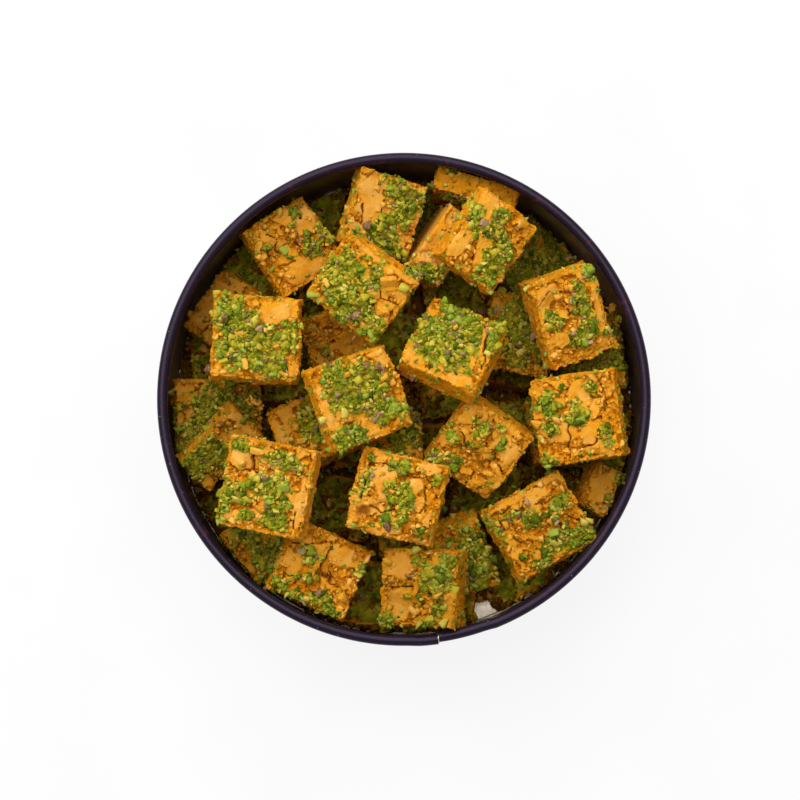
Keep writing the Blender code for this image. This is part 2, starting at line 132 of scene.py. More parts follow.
class Recipe:
    # a material's node tree, with each node added and linked in one call
    words = {"Color": "Base Color", "SpecularLevel": "Specular IOR Level",
             "SubsurfaceWeight": "Subsurface Weight", "SubsurfaceScale": "Subsurface Scale",
             "SubsurfaceRadius": "Subsurface Radius"}

    def __init__(self, name):
        self.material = bpy.data.materials.new(name)
        self.material.use_nodes = True
        self.tree = self.material.node_tree
        self.shader = self.tree.nodes["Principled BSDF"]
        self.place = self.tree.nodes.new("ShaderNodeTexCoord").outputs["Object"]

    def feed(self, socket, value):
        if isinstance(value, bpy.types.NodeSocket):
            self.tree.links.new(value, socket)
        elif isinstance(value, tuple) and len(value) == 3 and socket.type == "RGBA":
            socket.default_value = (*value, 1.0)
        else:
            socket.default_value = value

    def noise(self, size, detail=4.0, roughness=0.55, distortion=0.0):
        # size is the width of a blotch in mm
        made = self.tree.nodes.new("ShaderNodeTexNoise")
        self.feed(made.inputs["Vector"], self.place)
        made.inputs["Scale"].default_value = 1 / (size * mm)
        made.inputs["Detail"].default_value = detail
        made.inputs["Roughness"].default_value = roughness
        made.inputs["Distortion"].default_value = distortion
        return made.outputs["Fac"]

    def spots(self, size):
        made = self.tree.nodes.new("ShaderNodeTexVoronoi")
        self.feed(made.inputs["Vector"], self.place)
        made.inputs["Scale"].default_value = 1 / (size * mm)
        return made.outputs["Distance"]

    def value(self, name):
        made = self.tree.nodes.new("ShaderNodeAttribute")
        made.attribute_name = name
        return made.outputs["Fac"]

    def ramp(self, fac, *stops):
        made = self.tree.nodes.new("ShaderNodeValToRGB")
        self.feed(made.inputs["Fac"], fac)
        line = made.color_ramp.elements
        while len(line) < len(stops):
            line.new(0.5)
        for stop, (at, color) in zip(line, stops):
            stop.position = at
            color = (color,) * 3 if isinstance(color, float) else color
            stop.color = (*color, 1.0)
        return made.outputs["Color"]

    def cloud(self, size, detail, roughness, start, end, most=1.0):
        # an uneven cover that rises from 0 to most where the noise goes from start to end
        return self.ramp(self.noise(size, detail, roughness), (start, 0.0), (end, most))

    def mix(self, fac, first, second):
        made = self.tree.nodes.new("ShaderNodeMix")
        made.data_type = "RGBA"
        self.feed(made.inputs[0], fac)
        self.feed(made.inputs[6], first)
        self.feed(made.inputs[7], second)
        return made.outputs[2]

    def math(self, operation, first, second):
        made = self.tree.nodes.new("ShaderNodeMath")
        made.operation = operation
        self.feed(made.inputs[0], first)
        self.feed(made.inputs[1], second)
        return made.outputs[0]

    def weigh(self, first, firstFactor, second, secondFactor):
        return self.math("ADD", self.math("MULTIPLY", first, firstFactor),
                         self.math("MULTIPLY", second, secondFactor))

    def height(self):
        made = self.tree.nodes.new("ShaderNodeSeparateXYZ")
        self.feed(made.inputs[0], self.place)
        return made.outputs["Z"]

    def distance(self, point):
        made = self.tree.nodes.new("ShaderNodeVectorMath")
        made.operation = "DISTANCE"
        self.feed(made.inputs[0], self.place)
        made.inputs[1].default_value = point
        return made.outputs["Value"]

    def bump(self, height, strength, distance):
        made = self.tree.nodes.new("ShaderNodeBump")
        made.inputs["Strength"].default_value = strength
        made.inputs["Distance"].default_value = distance * mm
        self.feed(made.inputs["Height"], height)
        return made.outputs["Normal"]

    def finish(self, **sockets):
        for name, value in sockets.items():
            self.feed(self.shader.inputs[self.words.get(name, name)], value)
        return self.material


def saffronPaste():
    # crumbly saffron paste: cut faces lighter, broken ones deeper, green where the nuts are bedded,
    # painted shade in its creases
    r = Recipe("saffronPaste")
    tone, cavity = r.value("tone"), r.value("cavity")
    paste = r.ramp(tone, (0.0, (0.44, 0.12, 0.0002)), (0.35, (0.64, 0.22, 0.0006)),
                   (0.65, (0.72, 0.3, 0.011)), (1.0, (0.8, 0.42, 0.09)))
    clouded = r.mix(r.cloud(6.0, 3.0, 0.6, 0.38, 0.68, 0.6), paste, (0.66, 0.22, 0.0006))
    speckled = r.mix(r.cloud(1.1, 6.0, 0.75, 0.46, 0.7, 0.5), clouded, (0.84, 0.44, 0.055))
    holes = r.ramp(r.noise(0.9, 5.0, 0.8), (0.3, 0.7), (0.44, 0.0))
    pitted = r.mix(holes, speckled, (0.4, 0.11, 0.0003))
    # painted shade in the cracks, pits and seams
    sunk = r.mix(cavity, pitted, (0.16, 0.035, 0.0002))
    nutTone = r.weigh(tone, 0.6, r.noise(2.6, 4.0, 0.7), 0.45)
    nuts = r.ramp(nutTone, (0.18, (0.06, 0.06, 0.0003)), (0.34, (0.12, 0.135, 0.0008)),
                  (0.46, (0.19, 0.21, 0.004)), (0.58, (0.32, 0.29, 0.008)),
                  (0.68, (0.48, 0.38, 0.02)), (0.78, (0.24, 0.13, 0.04)))
    grains = r.mix(r.cloud(0.7, 4.0, 0.7, 0.4, 0.62, 0.55), nuts, (0.44, 0.41, 0.03))
    # painted shade between the nut grains
    between = r.mix(cavity, grains, (0.05, 0.028, 0.0002))
    ragged = r.math("SUBTRACT", r.noise(0.8, 4.0, 0.75), 0.5)
    dustEdge = r.weigh(r.value("green"), 1.4, ragged, 1.9)
    dusted = r.mix(r.ramp(dustEdge, (0.5, 0.0), (0.75, 1.0)), sunk, between)
    # painted shade: the colour darkens toward brown as far as the sweet lies deep in the tin's shade
    shaded = r.mix(r.value("shade"), dusted, (0.045, 0.011, 0.0002))
    bumpy = r.bump(r.noise(0.7, 6.0, 0.8), 0.9, 0.25)
    return r.finish(Color=shaded, Roughness=0.7, SpecularLevel=0.02, SubsurfaceWeight=0.06,
                    SubsurfaceScale=0.0011, SubsurfaceRadius=(1.0, 0.4, 0.08), Normal=bumpy)


def chopped(name, dark, middle, light, middleAt=0.5):
    # crumbs of one shade, ground nuts or paste: each crumb takes its own tone from dark to light
    r = Recipe(name)
    base = r.ramp(r.value("tone"), (0.0, dark), (middleAt, middle), (1.0, light))
    paler = tuple(1.35 * c for c in light)
    mottled = r.mix(r.cloud(0.6, 3.0, 0.55, 0.4, 0.7, 0.45), base, paler)
    # painted shade: each crumb darkens with the sweet it lies on
    shaded = r.mix(r.value("shade"), mottled, (0.03, 0.01, 0.0002))
    bumpy = r.bump(r.noise(0.5, 3.0), 0.5, 0.12)
    return r.finish(Color=shaded, Roughness=0.55, SpecularLevel=0.04, SubsurfaceWeight=0.05,
                    SubsurfaceScale=0.0008, SubsurfaceRadius=(0.7, 1.0, 0.2), Normal=bumpy)


def darkLacquer():
    # gloss paint: aubergine with faint wine-red clouds and a few pale flecks
    r = Recipe("aubergineLacquer")
    clouds = r.ramp(r.noise(9.0, 4.0, 0.65, 0.6), (0.5, 0.0), (0.66, 1.0))
    streaks = r.cloud(1.6, 5.0, 0.7, 0.5, 0.7)
    wine = r.mix(r.math("MULTIPLY", clouds, streaks), (0.0125, 0.0075, 0.017),
                 (0.085, 0.016, 0.022))
    fleck = r.ramp(r.spots(1.5), (0.06, 1.0), (0.1, 0.0))
    rare = r.cloud(3.0, 2.0, 0.55, 0.58, 0.62)
    flecked = r.mix(r.math("MULTIPLY", fleck, rare), wine, (0.45, 0.36, 0.38))
    rough = r.ramp(r.noise(2.5, 4.0), (0.3, 0.16), (0.7, 0.3))
    wavy = r.bump(r.noise(3.2, 2.0), 0.12, 0.25)
    r.shader.inputs["Specular Tint"].default_value = (0.92, 0.74, 0.96, 1.0)
    return r.finish(Color=flecked, Roughness=rough, Normal=wavy, IOR=1.28)


cleanSpots = [(27.4, -66.4, 5.8), (44.3, -57.4, 4.6)]  # x, y and radius of bare floor in mm


def brightTin():
    # bare tinplate with fine rolling grain and a little haze; inside, near-black brown dust covers the
    # floor, dust and painted shade of the gaps in one
    r = Recipe("tinplate")
    color = r.ramp(r.noise(14.0, 3.0), (0.35, (0.5, 0.43, 0.34)), (0.65, (0.62, 0.55, 0.45)))
    rough = r.ramp(r.noise(1.2, 5.0, 0.7), (0.3, 0.34), (0.7, 0.5))
    level = tinFloor["top"] * mm
    upper = r.math("GREATER_THAN", r.height(), level - 0.4 * mm)
    inner = r.math("LESS_THAN", r.distance((0.0, 0.0, level)), tinFloor["reach"] * mm)
    dustAndPaintedShade = r.math("MULTIPLY", r.math("MULTIPLY", upper, inner), r.cloud(2.0, 4.0, 0.7, 0.2, 0.3))
    for x, y, reach in cleanSpots:
        away = r.math("DIVIDE", r.distance((x * mm, y * mm, level)), reach * mm)
        dustAndPaintedShade = r.math("MULTIPLY", dustAndPaintedShade, r.ramp(away, (0.85, 0.0), (1.0, 1.0)))
    # painted shade: where the dust lies the floor is dull near-black brown instead of bright metal
    return r.finish(Color=r.mix(dustAndPaintedShade, color, (0.035, 0.011, 0.0006)), Roughness=rough,
                    Metallic=r.math("SUBTRACT", 1.0, dustAndPaintedShade), Normal=r.bump(r.noise(0.9, 4.0), 0.15, 0.05))


lacquer = darkLacquer()
tinplate = brightTin()
sweetPaste = saffronPaste()
nutShades = {
    "fresh": chopped("pistachioFresh", (0.085, 0.115, 0.0006), (0.175, 0.23, 0.004), (0.32, 0.38, 0.05)),
    "golden": chopped("pistachioGolden", (0.28, 0.21, 0.0008), (0.41, 0.34, 0.008), (0.6, 0.5, 0.09)),
    "dark": chopped("pistachioDark", (0.05, 0.06, 0.0004), (0.085, 0.115, 0.001), (0.12, 0.18, 0.02),
                    0.6),
    # painted shade: crumbs darkened to deep brown, for those that lie low in the tin's shade
    "deep": chopped("saffronPaintedShadeCrumb", (0.09, 0.03, 0.0002), (0.17, 0.062, 0.0005), (0.28, 0.13, 0.004)),
    "skin": chopped("pistachioSkin", (0.12, 0.045, 0.02), (0.24, 0.115, 0.06), (0.42, 0.26, 0.14)),
    "paste": chopped("saffronCrumb", (0.5, 0.17, 0.0004), (0.68, 0.3, 0.012), (0.8, 0.44, 0.08)),
}
print("materials made")


# the tin

tinSizes = {"rim": 75.0, "height": 50.0, "wall": 0.6, "roll": 3.2, "foot": 1.3, "steps": 256,
            "beadPoints": 36, "curlEnd": 228, "merge": 0.02, "sharp": 32}
seamSizes = {"step": -79.9, "recess": 0.34, "recessStart": -66.5, "recessRun": 1.5, "proud": 0.24,
             "proudEnd": -87.0, "proudRun": 3.0, "slit": 0.1}  # degrees round the tin, depths in mm
baseOutline = ((0.0, 1.6), (68.4, 1.6), (68.8, 1.45), (69.9, 0.15), (70.3, 0.0), (75.1, 0.0),
               (75.6, 0.12), (76.05, 0.55), (76.19, 1.1), (76.19, 2.9), (76.08, 3.15),
               (75.86, 3.26), (75.64, 3.15), (75.54, 2.9), (75.54, 1.0), (73.76, 1.0),
               (73.76, 2.75), (73.5, 3.0), (66.5, 3.0), (66.0, 2.75), (63.5, 2.75),
               (63.0, 3.0), (0.0, 3.0))  # radius and height in mm


def seamShift(angle):
    # how far the lapped wall lies off its circle, at this angle in degrees
    s = seamSizes
    if s["step"] < angle <= s["recessStart"]:
        return -s["recess"] * min(1.0, (s["recessStart"] - angle) / s["recessRun"])
    if s["proudEnd"] < angle <= s["step"]:
        return s["proud"] * min(1.0, (angle - s["proudEnd"]) / s["proudRun"])
    return 0.0


def pull(x, z):
    # draws what is selected out to a new end, by this much in metres
    bpy.ops.mesh.extrude_region_move(TRANSFORM_OT_translate={"value": (x, 0, z)})


def spinRound():
    bpy.ops.mesh.select_all(action="SELECT")
    bpy.ops.mesh.spin(steps=tinSizes["steps"], angle=2 * math.pi, center=(0, 0, 0), axis=(0, 0, 1))
    bpy.ops.mesh.select_all(action="SELECT")
    bpy.ops.mesh.remove_doubles(threshold=tinSizes["merge"] * mm)
    bpy.ops.mesh.normals_make_consistent(inside=False)


def shiftSeam(mesh):
    for v in mesh.vertices:
        angle = math.degrees(math.atan2(v.co.y, v.co.x))
        grown = 1 + seamShift(angle) * mm / math.hypot(v.co.x, v.co.y)
        v.co.x *= grown
        v.co.y *= grown


def paintWall(mesh, throat):
    # lacquer outside and on the roll, bare tinplate inside and on the lap's cut end
    mesh.materials.append(lacquer)
    mesh.materials.append(tinplate)
    innerLeast = (tinSizes["rim"] - 5.0) * mm
    for face in mesh.polygons:
        middle = face.center
        outward = face.normal.x * middle.x + face.normal.y * middle.y
        angle = math.degrees(math.atan2(middle.y, middle.x))
        cutEnd = abs(angle - seamSizes["step"]) < seamSizes["slit"]
        inside = (outward < 0 and middle.z < throat + 0.4 * mm
                  and math.hypot(middle.x, middle.y) > innerLeast)
        face.material_index = 1 if inside or cutEnd else 0


def makeTinWall():
    t = tinSizes
    tube = t["roll"] / 2 * mm
    middle = (t["rim"] * mm - tube, 0.0, t["height"] * mm - tube)
    deselectAll()
    bpy.ops.mesh.primitive_circle_add(vertices=t["beadPoints"], radius=tube, location=middle,
                                      rotation=(math.pi / 2, 0, 0))
    wall = bpy.context.object
    wall.name = "tinWall"
    bpy.ops.object.transform_apply(location=True, rotation=True, scale=True)
    startEdit(wall)

    def turnOf(co):  # degrees round the roll's own middle, 0 is straight outwards
        return math.degrees(math.atan2(co.z - middle[2], co.x - middle[0])) % 360

    pickVertices(wall, lambda co: t["curlEnd"] + 2 < turnOf(co) < 358)
    bpy.ops.mesh.delete(type="VERT")
    pickVertices(wall, lambda co: turnOf(co) < 2 or turnOf(co) > 358)
    pull(0, tube - (t["height"] - t["foot"]) * mm)
    pickVertices(wall, lambda co: t["curlEnd"] - 8 < turnOf(co) < t["curlEnd"] + 2
                 and co.z > t["height"] / 2 * mm)
    curl = next(v.co.copy() for v in wall.data.vertices if v.select)
    throat = (t["height"] - t["roll"]) * mm
    pull((t["rim"] - t["wall"]) * mm - curl.x, throat - curl.z)
    pull(0, t["foot"] * mm - throat)
    pickVertices(wall, lambda co: co.z < t["height"] / 5 * mm)
    bpy.ops.mesh.edge_face_add()
    spinRound()
    slit = math.radians(seamSizes["slit"])
    for side in (-slit, slit):  # two cuts close together, where the lapped end steps
        turn = math.radians(seamSizes["step"]) + side
        bpy.ops.mesh.select_all(action="SELECT")
        bpy.ops.mesh.bisect(plane_co=(0, 0, 0), plane_no=(-math.sin(turn), math.cos(turn), 0))
    endEdit()
    shiftSeam(wall.data)
    paintWall(wall.data, throat)
    smoothByAngle(wall, t["sharp"])
    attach(wall, "root")
    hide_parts("tin_body")


def makeTinBase():
    deselectAll()
    bpy.ops.mesh.primitive_plane_add(size=1 * mm)
    base = bpy.context.object
    base.name = "tinBase"
    startEdit(base)
    bpy.ops.mesh.select_all(action="SELECT")
    bpy.ops.mesh.merge(type="CENTER")
    radius, height = baseOutline[0]
    bpy.ops.transform.translate(value=(radius * mm, 0, height * mm))
    for here, there in zip(baseOutline, baseOutline[1:]):
        pull((there[0] - here[0]) * mm, (there[1] - here[1]) * mm)
    spinRound()
    endEdit()
    base.data.materials.append(tinplate)
    smoothByAngle(base, tinSizes["sharp"])
    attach(base, "root")
    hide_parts("tin_base")


makeTinWall()
makeTinBase()
print("tin made")


# noise for the crumbly faces, worked out on all points of a sweet at once

def hashed(x, y, z, salt):
    # stirs whole numbers, so that each cell of space gets its own chance number
    h = (x.astype(np.uint32) * np.uint32(2376512323)) ^ (y.astype(np.uint32) * np.uint32(3625334849))
    h = h ^ (z.astype(np.uint32) * np.uint32(3407524639)) ^ np.uint32(salt * 7919 % 4294967291)
    for shift, factor in ((15, 739982445), (12, 695872825)):
        h = (h ^ (h >> np.uint32(shift))) * np.uint32(factor)
    return h ^ (h >> np.uint32(15))


def unit(h, turn=0):
    # a number from 0 to 1 out of a cell's number, another one for each turn
    h = h * np.uint32(747796405 + 2 * turn * 1013904223 % 4294967291) + np.uint32(turn * 40503)
    return ((h ^ (h >> np.uint32(13))) & np.uint32(0xFFFFFF)).astype(float) / 0xFFFFFF


def waves(points, size, salt):
    # soft noise from -1 to 1 whose lumps are about this many mm wide
    q = points / size
    base = np.floor(q).astype(np.int64)
    f = q - base
    f = f * f * (3 - 2 * f)
    total = np.zeros(len(points))
    for corner in np.ndindex(2, 2, 2):
        x, y, z = (base + corner).T
        weight = np.prod(np.where(corner, f, 1 - f), axis=1)
        total += unit(hashed(x, y, z, salt)) * weight
    return total * 2 - 1


def flakes(points, size, salt):
    # cells about this many mm wide: distance to the nearest two seeds, and each cell's own number
    q = points / size
    base = np.floor(q).astype(np.int64)
    first = np.full(len(q), 9.0)
    second = np.full(len(q), 9.0)
    number = np.zeros(len(q), np.uint32)
    offset = np.zeros_like(q)
    for cell in np.ndindex(3, 3, 3):
        at = base + np.array(cell) - 1
        h = hashed(*at.T, salt)
        seed = at + np.stack([unit(h, 1), unit(h, 2), unit(h, 3)], axis=1)
        away = q - seed
        far = np.sqrt((away ** 2).sum(axis=1))
        closer = far < first
        second = np.where(closer, first, np.minimum(second, far))
        first = np.where(closer, far, first)
        number = np.where(closer, h, number)
        offset[closer] = away[closer]
    return first, second, number, offset


def plateaus(points, size, salt, tilt):
    # broken facets: each cell has its own level and slope; also its tone and the seam round it
    first, second, number, offset = flakes(points, size, salt)
    slope = np.stack([unit(number, 4), unit(number, 5), unit(number, 6)], axis=1) - 0.5
    level = unit(number, 7) - 0.5 + tilt * (offset * slope).sum(axis=1) * 2
    return level, unit(number, 8), second - first


def domes(points, size, salt, spread, height):
    # grains: each cell is a low dome at its own level; also its tone and the seam round it
    first, second, number, offset = flakes(points, size, salt)
    level = spread * (unit(number, 7) - 0.5) + height * (0.45 - first ** 2)
    return level, unit(number, 8), second - first


def bent(points, size, salts):
    # soft noises side by side, which bend the cells' straight edges
    return np.stack([waves(points, size, salt) for salt in salts], axis=1)


# the sweets

# What an upper face shows, in half widths and half depths from its middle: u to the right and
# v to the back. green and smooth are (u, v, reach u, reach v, turn if any), cracks run from point
# to point, pits are (u, v, radius mm, depth mm), chunks are (u, v, size mm, shade), the paste's
# tone shift is painted light (painted shade below 0) and mounds says how green what stands above the
# block is.
faceLooks = {
    "sweet_top_01": {
        "green": [(-0.1, -0.3, 0.95, 0.62), (-0.5, 0.4, 0.5, 0.55), (0.75, 0, 0.3, 0.5)],
        "smooth": [(0.37, 0.58, 0.36, 0.27), (-0.75, -0.92, 0.4, 0.14)],
        "chunks": [(0.46, 0.06, 2.6, "fresh"), (-0.66, 0.5, 2.2, "fresh"), (0.08, 0.17, 2.2, "skin"),
            (-0.25, -0.67, 3, "paste"), (0.48, -0.24, 2.6, "paste"), (0.5, 0.28, 1.7, "skin"),
            (-0.7, -0.65, 2.2, "golden"), (0.66, -0.5, 1.8, "skin")]},
    "sweet_top_02": {
        "green": [(-0.45, 0.1, 0.6, 0.62), (-0.1, -0.5, 0.8, 0.5), (0.1, 0.45, 0.22, 0.5, 15),
            (0.75, -0.65, 0.4, 0.35)],
        "smooth": [(0.1, 0.9, 0.9, 0.12), (-0.72, -0.38, 0.1, 0.16)],
        "cracks": [((0.3, 0.4), (0.5, 0.1), (0.42, -0.2), (0.55, -0.4)), ((0.5, 0.1), (0.9, 0.2))],
        "chunks": [(0.26, -0.6, 2, "skin"), (0.45, 0.55, 4.4, "paste"), (0.62, -0.1, 4, "paste"),
            (0.05, 0.2, 3, "golden"), (-0.72, -0.35, 2.6, "paste")]},
    "sweet_top_03": {
        "green": [(0, 0.1, 0.72, 0.72), (-0.5, -0.75, 0.5, 0.3), (0.3, -0.4, 0.6, 0.4),
            (-0.4, 0.8, 0.45, 0.22)],
        "smooth": [(-0.87, 0.1, 0.16, 0.5), (0.85, 0.75, 0.2, 0.3), (0.9, -0.6, 0.14, 0.4),
            (0.1, -0.92, 0.4, 0.12)],
        "chunks": [(0.54, 0.1, 4.6, "fresh"), (0.33, 0.7, 1.8, "skin"), (0.7, 0.4, 1.6, "skin"),
            (-0.5, -0.2, 2.4, "golden"), (-0.15, 0.3, 2.2, "golden"), (0.6, -0.5, 2.6, "fresh")]},
    "sweet_top_04": {
        "green": [(-0.35, -0.1, 0.6, 0.75), (-0.1, 0.75, 0.6, 0.4), (0.2, -0.3, 0.5, 0.45),
            (0.9, 0.7, 0.25, 0.5), (0.3, 0.2, 0.3, 0.4)],
        "smooth": [(0.72, 0.2, 0.14, 0.75, 28), (-0.75, -0.75, 0.3, 0.25), (0.55, -0.85, 0.4, 0.2),
            (-0.8, 0.5, 0.2, 0.2)],
        "cracks": [((0.5, 0.85), (0.75, 0.3), (0.95, -0.3))],
        "chunks": [(-0.35, 0.2, 3.2, "fresh"), (-0.3, -0.1, 3, "fresh"), (0.1, 0.08, 2, "fresh"),
            (-0.1, 0.65, 2.2, "fresh"), (0.02, 0.35, 1.4, "skin")]},
    "sweet_top_05": {
        "paintedLight": 0.12,
        "green": [(0.22, 0, 0.26, 0.5, 10), (-0.08, -0.55, 0.14, 0.28), (-0.73, 0.1, 0.14, 0.35),
            (-0.73, 0.77, 0.12, 0.12), (0.73, -0.69, 0.2, 0.14), (0.8, 0.57, 0.1, 0.1),
            (0, 0.75, 0.5, 0.14)],
        "smooth": [(-0.3, 0.3, 0.34, 0.4), (0.35, 0.35, 0.2, 0.25), (0.55, 0.85, 0.3, 0.15)],
        "cracks": [((0.6, 0.6), (0.66, 0.1), (0.55, -0.4)), ((-0.1, 0.7), (-0.75, 0.6), (-0.8, -0.3)),
            ((-0.6, -0.35), (-0.2, -0.42), (0.1, -0.3)), ((0.1, 0.62), (0.9, 0.55))],
        "pits": [(-0.62, -0.55, 2.6, 1.8)],
        "chunks": [(-0.04, -0.75, 2.6, "skin"), (0.1, 0.52, 1.3, "skin"), (0.3, 0.05, 2.4, "fresh"),
            (-0.1, -0.55, 2.6, "dark")]},
    "sweet_top_06": {
        "green": [(-0.15, 0.65, 0.3, 0.3, -30), (-0.72, 0.25, 0.25, 0.4, 30), (0.4, -0.5, 0.4, 0.5),
            (0.2, 0.2, 0.5, 0.25), (0.5, 0.05, 0.3, 0.2)],
        "smooth": [(-0.7, 0.75, 0.4, 0.3), (0.05, -0.35, 0.28, 0.4, 25), (-0.7, -0.5, 0.3, 0.4)],
        "cracks": [((-0.3, 0.1), (0.2, 0.05), (0.6, -0.1)), ((-0.3, -0.2), (0, -0.75))],
        "chunks": [(-0.46, 0.29, 2.4, "skin"), (-0.23, 0.77, 2.4, "fresh"), (-0.85, 0.35, 2, "fresh")]},
    "sweet_top_08": {
        "paintedLight": 0.1,
        "green": [(0.35, 0.6, 0.7, 0.4, -20), (0.1, -0.5, 0.5, 0.4, 20), (0.5, 0.2, 0.4, 0.4),
            (0.5, -0.85, 0.4, 0.2)],
        "smooth": [(-0.48, 0.25, 0.42, 0.68, 15), (0.25, 0.6, 0.18, 0.12)],
        "cracks": [((-0.15, 0.3), (-0.1, -0.2)), ((-0.7, 0.1), (-0.6, -0.4))],
        "chunks": [(0.35, 0.3, 3.2, "fresh"), (0.65, 0.4, 2.4, "fresh"), (-0.45, -0.4, 2.6, "skin"),
            (0, -0.35, 2.4, "golden")]},
    "sweet_top_09": {
        "green": [(0.4, -0.3, 0.25, 0.4, 20), (0.54, 0.75, 0.2, 0.2), (0.85, -0.1, 0.2, 0.3)],
        "smooth": [(-0.1, -0.65, 0.55, 0.3), (0.6, 0.35, 0.4, 0.35)],
        "cracks": [((-0.5, 0.6), (-0.3, 0.35), (-0.45, 0.1), (-0.05, 0.15)), ((0, 0.5), (0.1, -0.1)),
            ((-0.6, -0.2), (-0.2, -0.35))],
        "chunks": [(0.5, 0.7, 2.4, "fresh"), (-0.27, 0.03, 2.5, "fresh"), (0.23, 0.25, 1.8, "skin"),
            (0.25, 0.05, 1.8, "skin"), (0.5, -0.42, 2.2, "fresh"), (0.15, 0.95, 1.8, "fresh")]},
    "sweet_top_10": {
        "green": [(0.42, 0.2, 0.2, 0.72, -5), (-0.57, 0.05, 0.26, 0.24), (0.02, -0.5, 0.35, 0.3),
            (0.85, 0.85, 0.25, 0.25), (0.3, -0.3, 0.3, 0.3)],
        "smooth": [(0.78, -0.1, 0.13, 0.6), (-0.5, 0.6, 0.4, 0.25, 30)],
        "cracks": [((-0.9, 0.45), (-0.4, 0.75)), ((-0.25, -0.4), (-0.2, -0.75)), ((-0.1, 0.4), (0, 0))],
        "chunks": [(0.45, -0.3, 2.8, "dark"), (0.35, 0.1, 2.6, "fresh"), (-0.15, -0.33, 2.4, "skin"),
            (0.15, 0.62, 2, "skin"), (0, 0.35, 2.6, "paste"), (0.2, -0.65, 1.8, "skin")]},
    "sweet_top_11": {
        "green": [(-0.65, 0.4, 0.25, 0.4), (0.4, 0.65, 0.16, 0.2), (0.62, -0.5, 0.2, 0.25),
            (-0.85, -0.9, 0.3, 0.2), (0, 0.1, 0.3, 0.3)],
        "smooth": [(0.15, 0.5, 0.3, 0.4), (-0.35, -0.3, 0.35, 0.25), (0.3, -0.4, 0.3, 0.3)],
        "cracks": [((-0.15, 0.05), (-0.2, -0.3), (-0.3, -0.9)), ((-0.8, -0.1), (-0.4, 0.05)),
            ((0, -0.8), (0.4, -0.5)), ((0.65, 0.85), (0.7, 0.2))],
        "chunks": [(0.05, -0.1, 2.4, "dark"), (-0.6, 0.15, 3, "golden"), (-0.65, 0.45, 2.6, "fresh"),
            (0.68, -0.25, 2, "dark"), (-0.95, 0, 3.4, "paste")]},
    "sweet_top_12": {
        "green": [(-0.1, 0.2, 0.28, 0.26), (0.58, 0.25, 0.25, 0.2), (-0.5, 0.5, 0.2, 0.16),
            (0.15, -0.55, 0.4, 0.3), (0.6, -0.7, 0.4, 0.3), (-0.95, 0.4, 0.12, 0.4),
            (-0.5, -0.8, 0.3, 0.15)],
        "smooth": [(0.25, 0.7, 0.3, 0.18), (-0.3, 0.85, 0.5, 0.12)],
        "cracks": [((-0.7, 0.1), (-0.55, -0.2)), ((0.1, 0.45), (0.45, 0.4), (0.6, 0.5)),
            ((0.6, -0.2), (0.9, -0.35))],
        "pits": [(-0.1, -0.42, 1.2, 1)],
        "chunks": [(0.04, -0.6, 4.6, "golden"), (0.15, -0.33, 2.8, "fresh"), (0.96, 0.3, 4, "golden"),
            (0.6, 0.22, 2.2, "fresh"), (-0.1, 0.2, 2.8, "dark"), (0.35, -0.1, 1.8, "skin")]},
    "sweet_top_13": {
        "green": [(-0.2, 0.45, 0.15, 0.3, -10), (0.12, 0.77, 0.2, 0.14), (-0.8, -0.1, 0.2, 0.2),
            (-0.3, -0.55, 0.25, 0.2), (-0.75, -0.75, 0.35, 0.25), (0.4, 0.5, 0.12, 0.15)],
        "smooth": [(0.5, 0.4, 0.3, 0.3), (-0.75, 0.55, 0.2, 0.3)],
        "cracks": [((-0.8, 0.25), (-0.3, -0.15), (0, -0.25)), ((0.4, 0.1), (0.6, -0.05), (0.95, -0.1)),
            ((0.2, -0.5), (0.3, -0.9)), ((-0.55, 0.7), (-0.45, 0.3))],
        "pits": [(-0.35, -0.15, 1.3, 1)],
        "chunks": [(-0.19, 0.45, 4, "fresh"), (-0.8, -0.04, 3.6, "fresh"), (-0.6, -0.5, 2.6, "golden"),
            (0.38, 0.52, 2, "fresh"), (0.55, -0.35, 3, "paste")]},
    "sweet_top_14": {
        "paintedLight": 0.1,
        "green": [(0.35, 0.65, 0.5, 0.24, -10), (0.05, 0.05, 0.55, 0.32, 10), (0.3, -0.3, 0.3, 0.3),
            (-0.9, -0.35, 0.25, 0.4), (-0.35, -0.7, 0.2, 0.16), (-0.7, 0.8, 0.4, 0.16),
            (-0.6, -0.25, 0.4, 0.25), (0.3, -0.7, 0.4, 0.2)],
        "smooth": [(-0.7, 0.5, 0.25, 0.25), (0.85, -0.3, 0.14, 0.6), (-0.05, -0.6, 0.25, 0.2)],
        "cracks": [((-0.95, 0.35), (-0.6, 0.25), (-0.3, 0.35)), ((0.8, -0.4), (0.75, -0.9)),
            ((-0.4, 0.75), (-0.45, 0.2))],
        "chunks": [(0.45, 0.12, 2.6, "fresh"), (0.35, -0.05, 2.4, "golden"), (-0.35, -0.35, 2, "golden"),
            (-0.3, 0.75, 3.2, "paste"), (-0.05, -0.5, 2.4, "paste"), (0.1, 0.3, 1.4, "skin")]},
    "sweet_top_15": {
        "green": [(-0.4, 0.3, 0.28, 0.24), (0.3, -0.68, 0.28, 0.22), (-0.8, -0.8, 0.3, 0.2),
            (0.92, 0.4, 0.14, 0.3), (0, -0.9, 0.9, 0.14)],
        "smooth": [(0.4, 0.55, 0.45, 0.3), (-0.65, -0.1, 0.25, 0.3)],
        "cracks": [((-0.05, 0.8), (0.05, 0.45), (0, 0.1), (-0.1, -0.3)),
            ((0.3, -0.05), (0.35, -0.25), (0.75, -0.2)), ((-0.9, 0.35), (-0.5, 0.5), (-0.1, 0.8)),
            ((-0.7, -0.45), (-0.35, -0.5), (-0.1, -0.3), (0.3, -0.05))],
        "pits": [(0.33, -0.12, 1.5, 1.4)],
        "chunks": [(-0.56, 0.27, 1.8, "skin"), (-0.4, 0.3, 2.2, "golden"), (0.72, -0.45, 3.2, "paste")]},
    "sweet_top_16": {
